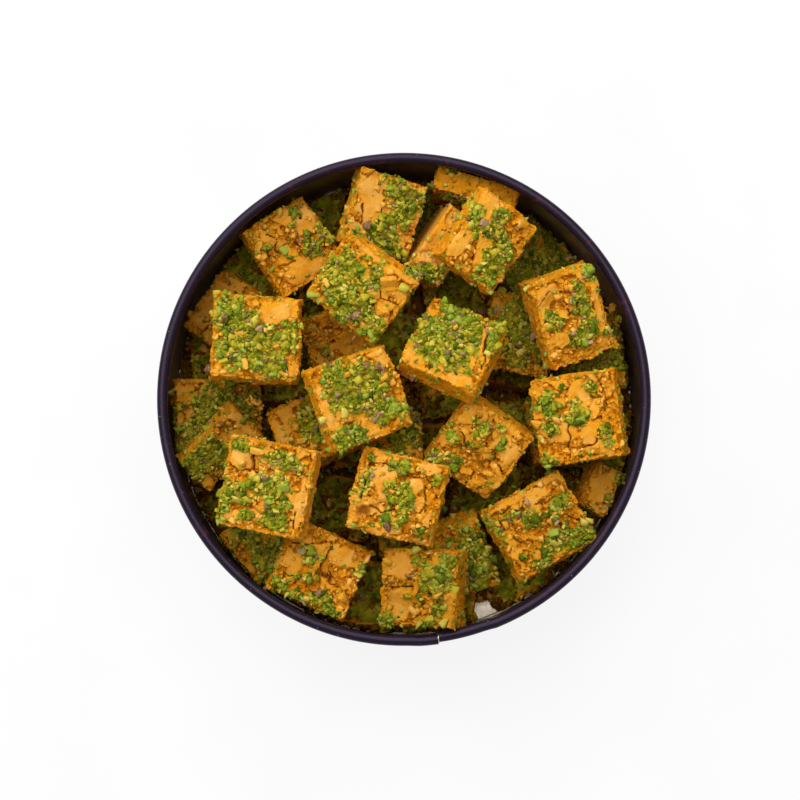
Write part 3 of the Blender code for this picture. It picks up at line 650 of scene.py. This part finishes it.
        "paintedLight": -0.05,
        "green": [(0.4, 0.25, 0.4, 0.45), (0.5, -0.55, 0.28, 0.24), (0.3, -0.85, 0.3, 0.15),
            (-0.1, 0.7, 0.12, 0.22), (0.7, 0.75, 0.3, 0.25), (-0.85, -0.85, 0.25, 0.2)],
        "smooth": [(-0.5, 0.55, 0.35, 0.35), (-0.45, -0.35, 0.3, 0.4)],
        "cracks": [((0, 0.2), (0, -0.2), (0.1, -0.5), (-0.15, -0.8)), ((-0.75, -0.05), (-0.2, 0))],
        "pits": [(-0.7, 0.85, 0.9, 0.8), (-0.15, -0.6, 1.3, 1), (-0.2, 0.05, 0.8, 0.8)],
        "chunks": [(0.25, 0.38, 5.2, "golden"), (0.55, 0.42, 4.6, "fresh"), (0.8, 0.25, 3.2, "skin"),
            (0.08, 0.1, 3, "dark"), (0.45, 0, 3.4, "fresh"), (1, 0, 4.4, "golden"),
            (0.45, -0.54, 3, "dark"), (0.3, -0.8, 2.8, "golden"), (0.7, -0.85, 2.6, "golden")]},
    "sweet_top_17": {"green": [(0.8, 0.7, 0.4, 0.4)], "smooth": [(0, 0, 0.8, 0.8)]},
    "sweet_top_07": {"mounds": 0, "green": [], "smooth": [(0, 0, 1.4, 1.4)], "paintedLight": 0.34},
    "sweet_mid_01": {
        "green": [(0.1, 0.1, 0.9, 0.7), (-0.5, -0.5, 0.5, 0.6)], "smooth": [(0, 0.94, 0.9, 0.1)]},
    "sweet_mid_02": {
        "green": [(-0.3, -0.4, 0.8, 0.7), (0.6, 0, 0.3, 0.4)], "smooth": [(0, 0.85, 0.9, 0.14)]},
    "sweet_mid_03": {"green": [(0.3, 0.1, 0.7, 0.8)], "smooth": [(-0.85, 0.3, 0.2, 0.5)]},
    "sweet_mid_07": {"green": [(0, 0.1, 1, 0.9)], "smooth": []},
    "sweet_mid_08": {"green": [(0, 0, 1, 1)], "smooth": []},
    "sweet_mid_10": {
        "green": [(0.5, -0.1, 0.6, 1)], "smooth": [(-0.6, 0.6, 0.3, 0.3)],
        "chunks": [(0.3, 0.2, 3.4, "dark"), (0.5, -0.4, 4, "fresh")]},
    "sweet_low_05": {
        "green": [(0, 0, 1.1, 1.1)], "smooth": [],
        "chunks": [(0.1, 0.1, 3.6, "dark"), (0.5, 0.5, 3.4, "golden"), (0.4, -0.4, 3.4, "fresh"),
            (-0.2, 0.6, 3, "paste")]},
    "sweet_low_06": {"green": [(0, 0, 1, 1)], "smooth": []},
    "sweet_low_26": {"green": [], "smooth": []},
    "sweet_mid_04": {
        "green": [(-0.5, -0.1, 0.15, 0.2)], "smooth": [(0.8, 0.8, 0.3, 0.3)],
        "cracks": [((-0.8, 0.3), (-0.5, 0.2)), ((-0.3, 0), (-0.2, 0.1))]},
    "sweet_mid_05": {
        "green": [(0.6, 0.3, 0.3, 0.3)], "smooth": [(-0.6, -0.2, 0.4, 0.8)],
        "cracks": [((-0.5, -0.8), (-0.4, -0.6), (-0.1, -0.4))]},
}
# heaps of nuts that lie over edges: x, y, reach x and reach y in mm
spills = [(6.0, 38.5, 7.5, 3.5), (-6.0, 46.0, 2.0, 2.0)]
litLows = ("sweet_low_05", "sweet_low_06")  # bottom sweets that the gaps show in full light
# how much more or less painted shade than its layer a sweet gets, as it lies deeper in shade or in more
# light
shadeShifts = {
    "sweet_top_08": 0.1, "sweet_top_09": 0.16, "sweet_top_12": 0.14, "sweet_top_16": 0.3,
    "sweet_top_17": 0.28, "sweet_mid_01": 0.18, "sweet_mid_02": 0.26, "sweet_mid_04": 0.08,
    "sweet_mid_05": 0.28, "sweet_mid_09": -0.12, "sweet_low_06": -0.1, "sweet_low_13": 0.2,
    "sweet_low_20": 0.4, "sweet_low_24": 0.55, "sweet_low_25": 0.1, "sweet_low_26": 0.26,
}
# each layer's shade value is painted shade: how far its colour is darkened for lying deeper in the tin
layerLooks = {  # voxel in mm; green is how many patches of nuts a face without its own table gets
    "top": {"voxel": 0.36, "smoothing": 1, "green": 3, "shade": 0.0},
    "mid": {"voxel": 0.52, "smoothing": 1, "green": 5, "shade": 0.22},
    "low": {"voxel": 1.3, "smoothing": 0, "green": 1, "shade": 0.14},
}
relief = {  # heights and widths in mm
    "lumps": 0.4, "knobs": 0.4, "slabSize": 3.8, "slabDrop": 1.2, "slabTilt": 1.0, "share": 0.58,
    "crumbs": 1.0, "crumbSize": 1.7, "bed": 0.9, "bedSize": 1.35, "fine": 0.3, "fineSize": 0.75,
    "grains": 0.45, "grainSize": 0.85, "ripple": 0.12, "crackDepth": 1.0, "crackWidth": 0.32,
    "chips": 0.85, "chipSize": 3.3, "nicks": 0.45, "nickSize": 1.3, "swell": 0.45, "wave": 0.3,
    "torn": 0.9, "tornSize": 2.6, "nutRise": 1.1, "deepest": -3.2, "proudest": 0.55, "sharp": 42,
    "highest": cadBox[1][2] / mm - 0.1,
}


def poseOf(mesh):
    # the flat underside is the widest face, so its triangle gives the sweet's place and turn
    points = np.array([v.co for v in mesh.vertices])
    mesh.calc_loop_triangles()
    tris = np.array([t.vertices for t in mesh.loop_triangles])
    areas = np.array([t.area for t in mesh.loop_triangles])
    a, b, c = points[tris[areas.argmax()]]
    for corner, one, other in ((a, b, c), (b, c, a), (c, a, b)):  # stops at the right angle
        first, second = one - corner, other - corner
        if abs(first @ second) < 0.05 * np.linalg.norm(first) * np.linalg.norm(second):
            break
    middle = (one + other) / 2
    sides = [first, second, -first, -second]
    right = max(sides, key=lambda s: s[0] / np.linalg.norm(s))
    across = second if right is sides[0] or right is sides[2] else first
    up = np.cross(right, across)
    up /= np.linalg.norm(up)
    if up @ (points.mean(axis=0) - middle) < 0:
        up = -up
    right = right / np.linalg.norm(right)
    back = np.cross(up, right)
    half = [np.linalg.norm(first) / 2 / mm, np.linalg.norm(second) / 2 / mm]
    if abs(right @ first / np.linalg.norm(first)) < 0.5:
        half.reverse()
    return middle, np.stack([right, back, up], axis=1), half


def patchCover(spot, patches):
    # 1 in the middle of the nearest patch, 0 at its edge and less beyond
    cover = np.full(len(spot), -1.0)
    for u, v, reachU, reachV, *turned in patches:
        du, dv = spot[:, 0] - u, spot[:, 1] - v
        turn = math.radians(sum(turned))
        c, s = math.cos(turn), math.sin(turn)
        out = np.hypot((du * c + dv * s) / reachU, (dv * c - du * s) / reachV)
        cover = np.maximum(cover, 1 - out)
    return cover


def lineAway(spot, points):
    # distance in mm from a bent line
    least = np.full(len(spot), 99.0)
    for start, end in zip(points, points[1:]):
        along = end - start
        t = np.clip(((spot - start) @ along) / (along @ along), 0, 1)
        least = np.minimum(least, np.linalg.norm(spot - start - t[:, None] * along, axis=1))
    return least


def looksOf(node, salt):
    if node in faceLooks:
        return faceLooks[node]
    draw = np.random.default_rng(salt)
    patches = layerLooks[node.split("_")[1]]["green"]
    green = [(draw.uniform(-0.8, 0.8), draw.uniform(-0.8, 0.8), draw.uniform(0.3, 0.7),
              draw.uniform(0.25, 0.6), draw.uniform(0, 180)) for _ in range(patches)]
    smooth = [(draw.uniform(-0.8, 0.8), draw.uniform(-0.8, 0.8), 0.3, 0.3)]
    return {"green": green, "smooth": smooth}


def fineCopy(node, rule):
    # a copy of the solid in small even faces, with the solid's pose and the faces' width in mm
    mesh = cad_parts[node].data.copy()
    piece = bpy.data.objects.new(node.replace("sweet_", "sweet-"), mesh)
    bpy.context.scene.collection.objects.link(piece)
    pose = poseOf(mesh)
    mesh.materials.clear()
    startEdit(piece)
    bpy.ops.mesh.select_all(action="SELECT")
    bpy.ops.mesh.remove_doubles(threshold=0.01 * mm)
    endEdit()
    voxel = rule["voxel"] * 1.0
    applyModifier(piece, "REMESH", mode="VOXEL", voxel_size=voxel * mm, adaptivity=0.0)
    if rule["smoothing"]:
        applyModifier(piece, "SMOOTH", factor=0.5, iterations=rule["smoothing"])
    return piece, pose, voxel


def coverSweet(s):
    # from 0 to 1 at each point: upper face, nuts, smooth cut skin, the rim round the top, sides
    height, upward = s.local[:, 2], s.facing[:, 2]
    thick = height.max()
    top = thick - relief["nutRise"]  # the block's own upper face; only nuts stand above it
    s.ragged = 0.4 * waves(s.p, 2.6, s.salt + 1) + 0.3 * waves(s.p, 1.1, s.salt + 2)
    s.upper = ease(0.35, 0.7, upward) * ease(thick * 0.35, thick * 0.55, height)
    patches = ease(-0.1, 0.25, patchCover(s.spot, s.looks["green"]) + s.ragged)
    mounds = s.looks.get("mounds", 0.9) * ease(top + 0.1, top + 0.5, height)
    fallen = 0.75 * ease(top - 7.0, top - 0.5, height) * ease(-0.2, 0.3, s.ragged)
    s.green = np.maximum(patches, mounds) * np.maximum(s.upper, fallen * (upward > -0.5))
    if s.layer == "top":
        spilt = patchCover(s.points[:, :2] / mm, spills) + 0.8 * s.ragged
        s.green = np.maximum(s.green, ease(0.0, 0.3, spilt) * (s.normals[:, 2] > 0.2))
    s.smooth = ease(-0.1, 0.2, patchCover(s.spot, s.looks["smooth"]) + 0.6 * s.ragged)
    s.smooth = s.smooth * (1 - s.green)
    edge = np.abs(s.spot).max(axis=1)
    s.rim = ease(0.84, 0.97, edge) * ease(top - 5.0, top - 0.5, height) * (upward > -0.5)
    s.side = ease(0.6, 0.3, upward)


def openCracks(s):
    # how deep in mm the cracks and pits of the upper face go, and how much painted shade lies inside
    # them
    cracks = np.zeros(len(s.p))
    wander = s.spot + 0.07 * bent(s.p, 2.4, (s.salt + 13, s.salt + 14))
    wide = relief["crackWidth"] * (1 + 0.9 * waves(s.p, 2.5, s.salt + 15))
    for line in s.looks.get("cracks", ()):
        away = lineAway(wander * s.half, [np.array(q) * s.half for q in line])
        cracks = np.maximum(cracks, ease(1.0, 0.3, away / wide))
    deep = relief["crackDepth"] * cracks * s.upper
    dark = cracks * s.upper
    for u, v, radius, depth in s.looks.get("pits", ()):
        away = np.hypot(*((s.spot - (u, v)) * s.half).T)
        pit = ease(1.0, 0.3, away / radius + 0.35 * s.ragged) * s.upper
        deep += depth * pit
        dark = np.maximum(dark, 0.6 * pit)
    return deep, dark


def breakFaces(s):
    # moves each point along its normal, like sculpting, and sets its tone and the painted shade of its
    # creases
    p, salt, r = s.p, s.salt, relief
    warp = bent(p, 3.0, (salt + 3, salt + 4, salt + 5))
    ruffle = bent(p, 1.1, (salt + 16, salt + 17, salt + 18))
    slab, tone, seam = plateaus(p + 0.9 * warp + 0.35 * ruffle, r["slabSize"], salt + 6, r["slabTilt"])
    small, smallTone, smallSeam = plateaus(p + 0.3 * ruffle, r["crumbSize"], salt + 7, 0.8)
    bed, bedTone, bedSeam = domes(p + 0.25 * ruffle, r["bedSize"], salt + 8, 0.8, 0.9)
    grains = domes(p + 0.2 * ruffle, r["grainSize"], salt + 21, 0.6, 1.0)[0]
    fine = waves(p, r["fineSize"], salt + 9)
    # the cut skin stays in slabs; between them the paste has broken away and lies deeper
    s.broken = (tone < r["share"]) * (1 - s.smooth) * s.upper * (1 - s.green)
    rough = s.upper * (1 - s.smooth) * (1 - 0.85 * s.green)
    drop = 0.55 + 0.45 * unit(np.round(tone * 4096).astype(np.uint32))
    move = r["lumps"] * waves(p, 6.0, salt + 10) * s.upper
    move += r["knobs"] * waves(p + 0.5 * warp, 2.4, salt + 25) * rough
    move += 0.4 * slab * rough - r["slabDrop"] * s.broken * drop
    move += r["crumbs"] * small * (s.broken + 0.25 * rough)
    move += (r["bed"] * bed + r["grains"] * grains + 0.1) * s.green
    move += 0.5 * r["grains"] * grains * s.broken
    move += r["fine"] * fine * (0.3 + 0.7 * np.maximum(s.broken, s.green)) * (1 - 0.5 * s.smooth)
    move += r["ripple"] * waves(p, 1.5, salt + 11) + r["wave"] * waves(p, 8.0, salt + 19)
    # the cut sides are torn in places
    torn, tornTone, tornSeam = plateaus(p + 0.7 * warp + 0.3 * ruffle, r["tornSize"], salt + 22, 0.7)
    tornHere = s.side * (tornTone > 0.45)
    move += s.side * (0.28 * waves(p, 2.2, salt + 23) + 0.22 * waves(p, 4.6, salt + 24))
    move += tornHere * (r["torn"] * torn - 0.15 + 0.25 * fine)
    # the rim is swollen by the knife, and chipped
    move += r["swell"] * s.rim * (s.facing[:, 2] < 0.75)
    chips, chipTone = plateaus(p + 0.8 * warp + 0.4 * ruffle, r["chipSize"], salt + 12, 0.5)[:2]
    nicks, nickTone = plateaus(p + 0.4 * ruffle, r["nickSize"], salt + 20, 0.5)[:2]
    move -= r["chips"] * s.rim * (chipTone > 0.55) * (0.7 + 0.8 * chips)
    move -= r["nicks"] * s.rim * (nickTone > 0.4) * (0.6 + 0.8 * nicks)
    deep, dark = openCracks(s)
    move = (move - deep) * (1 - ease(-0.3, -0.8, s.facing[:, 2]))  # the underside stays flat
    s.points += s.normals * (np.clip(move, r["deepest"], r["proudest"]) * mm)[:, None]
    s.points[:, 2] = np.minimum(s.points[:, 2], r["highest"] * mm)
    # painted shade in the seams between crumbs, grains and torn flakes, and in cracks and pits
    paintedSeamShade = 0.4 * ease(0.14, 0.02, smallSeam) * s.broken + 0.3 * ease(0.1, 0.02, seam) * rough
    paintedSeamShade += 0.5 * ease(0.2, 0.02, bedSeam) * s.green + 0.45 * ease(0.09, 0.01, tornSeam) * tornHere
    s.cavity = np.clip(np.maximum(paintedSeamShade, dark), 0, 1)
    # the sweet's own tone shift is painted light, and painted shade where it is below 0
    skin = 0.62 + 0.3 * (tone - 0.5) + 0.17 * s.smooth * s.upper + s.looks.get("paintedLight", 0.0)
    # painted shade: the cut sides get a darker tone, as they face away from the light above
    skin -= s.side * (0.1 + 0.25 * (0.5 - tornTone))
    s.tone = np.where(s.broken > 0.5, 0.12 + 0.6 * smallTone, skin)
    s.tone = np.where(s.green > 0.5, bedTone, s.tone)


def fineSweet(node, salt):
    s = SimpleNamespace(salt=salt, looks=looksOf(node, salt))
    s.layer = "mid" if node in litLows else node.split("_")[1]
    rule = layerLooks[s.layer]
    piece, (middle, s.axes, s.half), s.voxel = fineCopy(node, rule)
    s.mesh = piece.data
    s.points, s.normals = rowsOf(s.mesh, "co"), rowsOf(s.mesh, "normal")
    s.local = (s.points - middle) @ s.axes / mm
    s.facing = s.normals @ s.axes
    s.spot = s.local[:, :2] / s.half
    s.p = s.local + 100.0 * (salt % 7 + 1)
    coverSweet(s)
    breakFaces(s)
    s.mesh.vertices.foreach_set("co", s.points.astype(np.float32).ravel())
    s.mesh.update()
    # painted shade for the sweet's depth in the tin, which its crumbs carry too
    s.shade = max(0.0, rule["shade"] + shadeShifts.get(node, 0.0))
    for name in ("green", "cavity", "tone"):
        addValues(s.mesh, name, getattr(s, name))
    addValues(s.mesh, "shade", np.full(len(s.points), s.shade))
    s.mesh.materials.append(sweetPaste)
    smoothByAngle(piece, relief["sharp"])
    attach(piece, "root")
    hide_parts(node)
    s.normals = rowsOf(s.mesh, "normal")
    return s


sweets = []
for index, node in enumerate(sorted(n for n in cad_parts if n.startswith("sweet_"))):
    sweets.append(fineSweet(node, 31 * index + 5))
print("sweets made:", len(sweets), "with", sum(len(s.points) for s in sweets), "points")


# ground nuts and loose crumbs

crumbRules = {  # per square mm; sizes in mm
    "perArea": {"top": 1.0, "mid": 0.8, "low": 0.35},
    "strayPerArea": {"top": 0.06, "mid": 0.09, "low": 0.07},
    "pastePerArea": 0.07, "pasteBroken": 0.3, "paintedShadeCrumbShare": 0.6, "lowGrowth": 1.35,
    "size": 0.82, "spread": 0.45, "least": 0.4, "most": 2.4, "reach": 74.0,
    "shares": {"fresh": 0.42, "golden": 0.36, "dark": 0.14, "skin": 0.05, "paste": 0.02, "deep": 0.0},
    "drift": (3.6, 3.6, 3.0, 2.5, 3.0, 3.0),  # how wide the patches of each of these shades are
    "shapes": 12, "slices": 5, "shape": (1.25, 1.0, 0.7),
}
pieceRules = {"shapes": 6, "slices": 7, "cuts": 3, "whole": 2.9, "bits": 7, "core": 0.52,
              "out": 0.34, "ownShade": 0.65}
# crumbs that lie loose on whatever is under them: x, y, size and shade
looseCrumbs = [(-46.5, -1.7, 5.0, "paste"), (-44.8, -3.6, 2.6, "paste"), (64.5, 31.5, 3.6, "paste"),
               (66.5, 28.0, 2.6, "golden"), (63.0, 35.5, 2.4, "paste"), (66.8, 33.0, 1.8, "fresh")]
floorCrumbs = {
    "tries": 22000, "size": 1.45, "spread": 0.4, "most": 2.8, "shapes": 5, "slices": 3,
    # most floor crumbs are dark deep ones: crumbs, and painted shade for the gaps down to the floor
    "atWall": 0.3, "wallBand": 66.0, "shares": {"deep": 0.8, "paste": 0.15, "golden": 0.05},
    "bare": [(27.4, -66.4, 5.8, 4.4), (44.3, -57.4, 4.4, 3.6), (69, -8, 2, 3)],  # as spills above
}


def crumbShape(number, slices):
    # a chopped crumb: a cube with its corners and edges cut off by a few slices
    draw = np.random.default_rng(100 + number)
    deselectAll()
    bpy.ops.mesh.primitive_cube_add(size=1.0)
    crumb = bpy.context.object
    startEdit(crumb)
    for _ in range(slices):
        way = draw.normal(size=3)
        way /= np.linalg.norm(way)
        bpy.ops.mesh.select_all(action="SELECT")
        bpy.ops.mesh.bisect(plane_co=tuple(way * draw.uniform(0.26, 0.46)), plane_no=tuple(way),
                            use_fill=True, clear_outer=True)
    bpy.ops.mesh.select_all(action="SELECT")
    bpy.ops.mesh.quads_convert_to_tris()
    endEdit()
    points = np.array([v.co for v in crumb.data.vertices])
    points -= points.mean(axis=0)
    points *= np.array(crumbRules["shape"]) * draw.uniform(0.85, 1.15, size=3)
    tris = np.array([f.vertices for f in crumb.data.polygons])
    bpy.data.objects.remove(crumb, do_unlink=True)
    return points, tris


def nutPiece(number):
    # a larger piece: the same cut cube with its faces divided and roughened
    points, tris = crumbShape(number, pieceRules["slices"])
    mesh = bpy.data.meshes.new("nutPiece")
    mesh.from_pydata([tuple(q) for q in points], [], [tuple(int(i) for i in t) for t in tris])
    piece = bpy.data.objects.new("nutPiece", mesh)
    bpy.context.scene.collection.objects.link(piece)
    startEdit(piece)
    bpy.ops.mesh.select_all(action="SELECT")
    bpy.ops.mesh.subdivide(number_cuts=pieceRules["cuts"], smoothness=0.3)
    bpy.ops.mesh.quads_convert_to_tris()
    endEdit()
    points = np.array([v.co for v in mesh.vertices])
    rough = 0.12 * waves(points, 0.35, number) + 0.07 * waves(points, 0.14, number + 1)
    points *= 1 + rough[:, None]
    tris = np.array([f.vertices for f in mesh.polygons])
    bpy.data.objects.remove(piece, do_unlink=True)
    return points, tris


def turnMatrices(count, draw):
    q = draw.normal(size=(count, 4))
    w, x, y, z = (q / np.linalg.norm(q, axis=1)[:, None]).T
    return np.stack([1 - 2 * (y * y + z * z), 2 * (x * y - z * w), 2 * (x * z + y * w),
                     2 * (x * y + z * w), 1 - 2 * (x * x + z * z), 2 * (y * z - x * w),
                     2 * (x * z - y * w), 2 * (y * z + x * w), 1 - 2 * (x * x + y * y)],
                    axis=1).reshape(-1, 3, 3)


def joinCrumbs(name, shapes, places, sizes, shades, material, draw):
    # one mesh that holds every crumb of a kind
    allPoints, allTris, allTones, allPaintedShades, start = [], [], [], [], 0
    picked = draw.integers(len(shapes), size=len(places))
    tones = draw.random(len(places))
    turns = turnMatrices(len(places), draw)
    for number, (points, tris) in enumerate(shapes):
        mine = np.flatnonzero(picked == number)
        if not len(mine):
            continue
        moved = np.einsum("nij,kj->nki", turns[mine], points) * sizes[mine, None, None] * mm
        moved += places[mine, None, :]
        over = moved[:, :, 2].max(axis=1) - relief["highest"] * mm
        moved[:, :, 2] -= np.maximum(0.0, over)[:, None]  # none stands above the heap's top
        allPoints.append(moved.reshape(-1, 3))
        rows = start + np.arange(len(mine))[:, None, None] * len(points) + tris[None]
        allTris.append(rows.reshape(-1, 3))
        allTones.append(np.repeat(tones[mine], len(points)))
        allPaintedShades.append(np.repeat(shades[mine], len(points)))
        start += len(mine) * len(points)
    points, tris = np.concatenate(allPoints), np.concatenate(allTris)
    mesh = bpy.data.meshes.new(name)
    mesh.vertices.add(len(points))
    mesh.vertices.foreach_set("co", points.astype(np.float32).ravel())
    mesh.loops.add(len(tris) * 3)
    mesh.loops.foreach_set("vertex_index", tris.astype(np.int32).ravel())
    mesh.polygons.add(len(tris))
    mesh.polygons.foreach_set("loop_start", np.arange(0, len(tris) * 3, 3, dtype=np.int32))
    mesh.update(calc_edges=True)
    addValues(mesh, "tone", np.concatenate(allTones))
    # each crumb carries the painted shade of the sweet it lies on
    addValues(mesh, "shade", np.concatenate(allPaintedShades))
    mesh.materials.append(material)
    piece = bpy.data.objects.new(name, mesh)
    bpy.context.scene.collection.objects.link(piece)
    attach(piece, "root")
    print(" ", name, len(places), "crumbs", len(tris), "triangles")


def scatterCrumbs():
    rule = crumbRules
    kinds = list(rule["shares"])
    found = {kind: ([], [], []) for kind in kinds}
    for s in sweets:
        count, area = len(s.points), s.voxel ** 2
        sizes = rule["size"] * np.exp(rule["spread"] * draw.normal(size=count))
        sizes = np.clip(sizes, rule["least"], rule["most"])
        dense = rule["perArea"][s.layer] * s.green * ease(-1.0, 0.3, waves(s.local, 2.0, 77))
        stray = rule["strayPerArea"][s.layer] * (1 - s.green) * (1 - 0.6 * s.smooth)
        faceUp = s.normals[:, 2] > -0.2
        keep = draw.random(count) < (dense + stray) * area * faceUp
        # shades gather in patches, as they do where the nuts were strewn
        drift = [np.exp(2.2 * waves(s.local, size, 81 + n)) for n, size in enumerate(rule["drift"])]
        odds = np.stack([share * d for share, d in zip(rule["shares"].values(), drift)], axis=1)
        odds = np.cumsum(odds / odds.sum(axis=1)[:, None], axis=1)
        kindOf = (draw.random(count)[:, None] > odds).sum(axis=1)
        flaked = rule["pastePerArea"] * s.upper * (1 - 0.9 * s.green) + rule["pasteBroken"] * s.broken
        paste = draw.random(count) < flaked * area * faceUp
        kindOf[paste] = kinds.index("paste")
        keep |= paste
        if s.layer == "low":
            # painted shade: a share of the bottom sweets' crumbs takes the dark deep shade
            kindOf[draw.random(count) < rule["paintedShadeCrumbShare"]] = kinds.index("deep")
            sizes = np.minimum(rule["lowGrowth"] * sizes, rule["most"])
        lift = sizes * draw.uniform(-0.2, 0.22, size=count) * mm
        places = s.points + s.normals * lift[:, None]
        keep &= places[:, 2] + 0.6 * sizes * mm < relief["highest"] * mm
        keep &= np.hypot(places[:, 0], places[:, 1]) + 0.5 * sizes * mm < rule["reach"] * mm
        for number, kind in enumerate(kinds):
            mine = keep & (kindOf == number)
            new = places[mine], sizes[mine], np.full(mine.sum(), s.shade)
            for rows, values in zip(found[kind], new):
                rows.append(values)
    shapes = [crumbShape(n, rule["slices"]) for n in range(rule["shapes"])]
    for kind in kinds:
        rows = [np.concatenate(values) for values in found[kind]]
        joinCrumbs("crumbs-" + kind, shapes, *rows, nutShades[kind], draw)


def addCluster(found, place, size, kind, axes, shade):
    # a large piece is a clump of broken bits, most of them of its own shade
    rule = pieceRules
    for bit in range(rule["bits"]):
        out = 0.0 if bit == 0 else rule["out"] * size * draw.uniform(0.6, 1.3)
        turn = draw.uniform(0, 2 * math.pi)
        shift = axes @ np.array([math.cos(turn), math.sin(turn), -0.25]) * out * mm
        bitSize = size * (rule["core"] if bit == 0 else draw.uniform(0.26, 0.42))
        own = kind == "paste" or draw.random() < rule["ownShade"]
        bitKind = kind if own else str(draw.choice(["fresh", "golden"]))
        found.setdefault(bitKind, []).append((*(place + shift), bitSize, shade))


def placeChunks():
    # the larger pieces, each where its sweet's table puts it
    found = {}
    highest = relief["highest"] * mm
    for s in sweets:
        for u, v, size, kind in s.looks.get("chunks", ()):
            away = np.hypot(*((s.spot - (u, v)) * s.half).T)
            at = (away + 9.0 * (s.upper < 0.5)).argmin()
            place = s.points[at] + s.axes[:, 2] * size * 0.12 * mm
            place[2] = min(place[2], highest - 0.5 * size * mm)
            if size < pieceRules["whole"] or kind == "paste":
                found.setdefault(kind, []).append((*place, size, s.shade))
            else:
                addCluster(found, place, size, kind, s.axes, s.shade)
    for x, y, size, kind in looseCrumbs:
        high = tinFloor["top"] * mm
        for s in sweets:
            near = np.hypot(s.points[:, 0] - x * mm, s.points[:, 1] - y * mm) < 1.2 * mm
            if near.any():
                high = max(high, s.points[near, 2].max())
        place = np.array([x * mm, y * mm, high + 0.25 * size * mm])
        addCluster(found, place, size, kind, np.eye(3), 0.0)
    shapes = [nutPiece(40 + n) for n in range(pieceRules["shapes"])]
    for kind, rows in found.items():
        rows = np.array(rows)
        joinCrumbs("pieces-" + kind, shapes, rows[:, :3], rows[:, 3], rows[:, 4], nutShades[kind], draw)


def lowTree():
    # the bottom sweets' surfaces, for finding what a place on the floor is near to
    corners, faces, start = [], [], 0
    for s in sweets:
        if s.layer == "low":
            corners.extend(v.co.copy() for v in s.mesh.vertices)
            faces.extend([start + i for i in f.vertices] for f in s.mesh.polygons)
            start += len(s.mesh.vertices)
    return BVHTree.FromPolygons(corners, faces)


def strewFloor():
    # crumbs that have fallen between the lowest sweets on to the tin's floor, most of them dark, which
    # also paints the gaps' shade
    rule = floorCrumbs
    tree = lowTree()
    draw = np.random.default_rng(19)
    kinds, shares = list(rule["shares"]), list(rule["shares"].values())
    found = {kind: ([], []) for kind in kinds}
    for _ in range(rule["tries"]):
        radius = tinFloor["reach"] * math.sqrt(draw.random())
        turn = draw.uniform(0, 2 * math.pi)
        size = min(rule["most"], rule["size"] * math.exp(rule["spread"] * draw.normal()))
        kind = kinds[draw.choice(len(kinds), p=shares)]
        if draw.random() < rule["atWall"]:
            radius = draw.uniform(rule["wallBand"], tinFloor["reach"])
        radius = min(radius, tinFloor["wall"] - 0.75 * size)
        x, y = radius * math.cos(turn), radius * math.sin(turn)
        away = min(math.hypot((x - cx) / rx, (y - cy) / ry) for cx, cy, rx, ry in rule["bare"])
        if away + 0.12 * draw.normal() < 1:
            continue
        place = Vector((x, y, tinFloor["top"] + 0.35 * size)) * mm
        if tree.find_nearest(place, 0.6 * size * mm)[0] is not None:
            continue
        if tree.ray_cast(place, (0, 0, 1), 4 * mm)[0] is not None:
            continue
        found[kind][0].append(tuple(place))
        found[kind][1].append(size)
    shapes = [crumbShape(n, rule["slices"]) for n in range(rule["shapes"])]
    for kind, (places, sizes) in found.items():
        joinCrumbs("floor-" + kind, shapes, np.array(places), np.array(sizes), np.zeros(len(sizes)),
                   nutShades[kind], draw)


scatterCrumbs()
placeChunks()
strewFloor()
print("crumbs made")


# floor, light and camera

stageSizes = {"floor": 3.0, "floorGlow": 0.86, "world": 0.42, "key": 19.0, "keySize": 1.6,
              "keyPlace": (-0.25, 0.5, 0.95), "keyAim": (0, 0, 0.04)}
cameraPlace = {"lens": 87.82, "sensor": 36.0, "place": (0.0, -0.0348, 0.640),
               "aim": (-0.00118, -0.00087, 0.050)}
white = (1.0, 1.0, 1.0, 1.0)


def turnTo(thing, aim):
    thing.rotation_euler = (Vector(aim) - thing.location).to_track_quat("-Z", "Y").to_euler()


def makeFloor():
    deselectAll()
    bpy.ops.mesh.primitive_plane_add(size=stageSizes["floor"], location=(0, 0, -0.0002))
    floor = bpy.context.object
    floor.name = "floor"
    r = Recipe("paleFloor")
    paper = r.ramp(r.noise(60.0, 2.0), (0.3, (0.08, 0.08, 0.08)), (0.7, (0.1, 0.1, 0.1)))
    r.shader.inputs["Emission Color"].default_value = white
    r.shader.inputs["Emission Strength"].default_value = stageSizes["floorGlow"]
    floor.data.materials.append(r.finish(Color=paper, Roughness=0.9))


def makeLight():
    world = bpy.data.worlds.new("studio")
    bpy.context.scene.world = world
    world.use_nodes = True
    sky = world.node_tree.nodes["Background"]
    sky.inputs["Color"].default_value = white
    sky.inputs["Strength"].default_value = stageSizes["world"]
    lamp = bpy.data.lights.new("softbox", "AREA")
    lamp.shape = "DISK"
    lamp.size = stageSizes["keySize"]
    lamp.energy = stageSizes["key"]
    box = bpy.data.objects.new("softbox", lamp)
    bpy.context.scene.collection.objects.link(box)
    box.location = stageSizes["keyPlace"]
    turnTo(box, stageSizes["keyAim"])
    bpy.context.scene.view_settings.view_transform = "Standard"


def makeStage():
    makeFloor()
    makeLight()


def makeCamera():
    lens = bpy.data.cameras.new("camera")
    lens.lens = cameraPlace["lens"]
    lens.sensor_width = cameraPlace["sensor"]
    camera = bpy.data.objects.new("camera", lens)
    bpy.context.scene.collection.objects.link(camera)
    camera.location = cameraPlace["place"]
    turnTo(camera, cameraPlace["aim"])
    bpy.context.scene.camera = camera


makeStage()
makeCamera()
deselectAll()
print("stage and camera made")
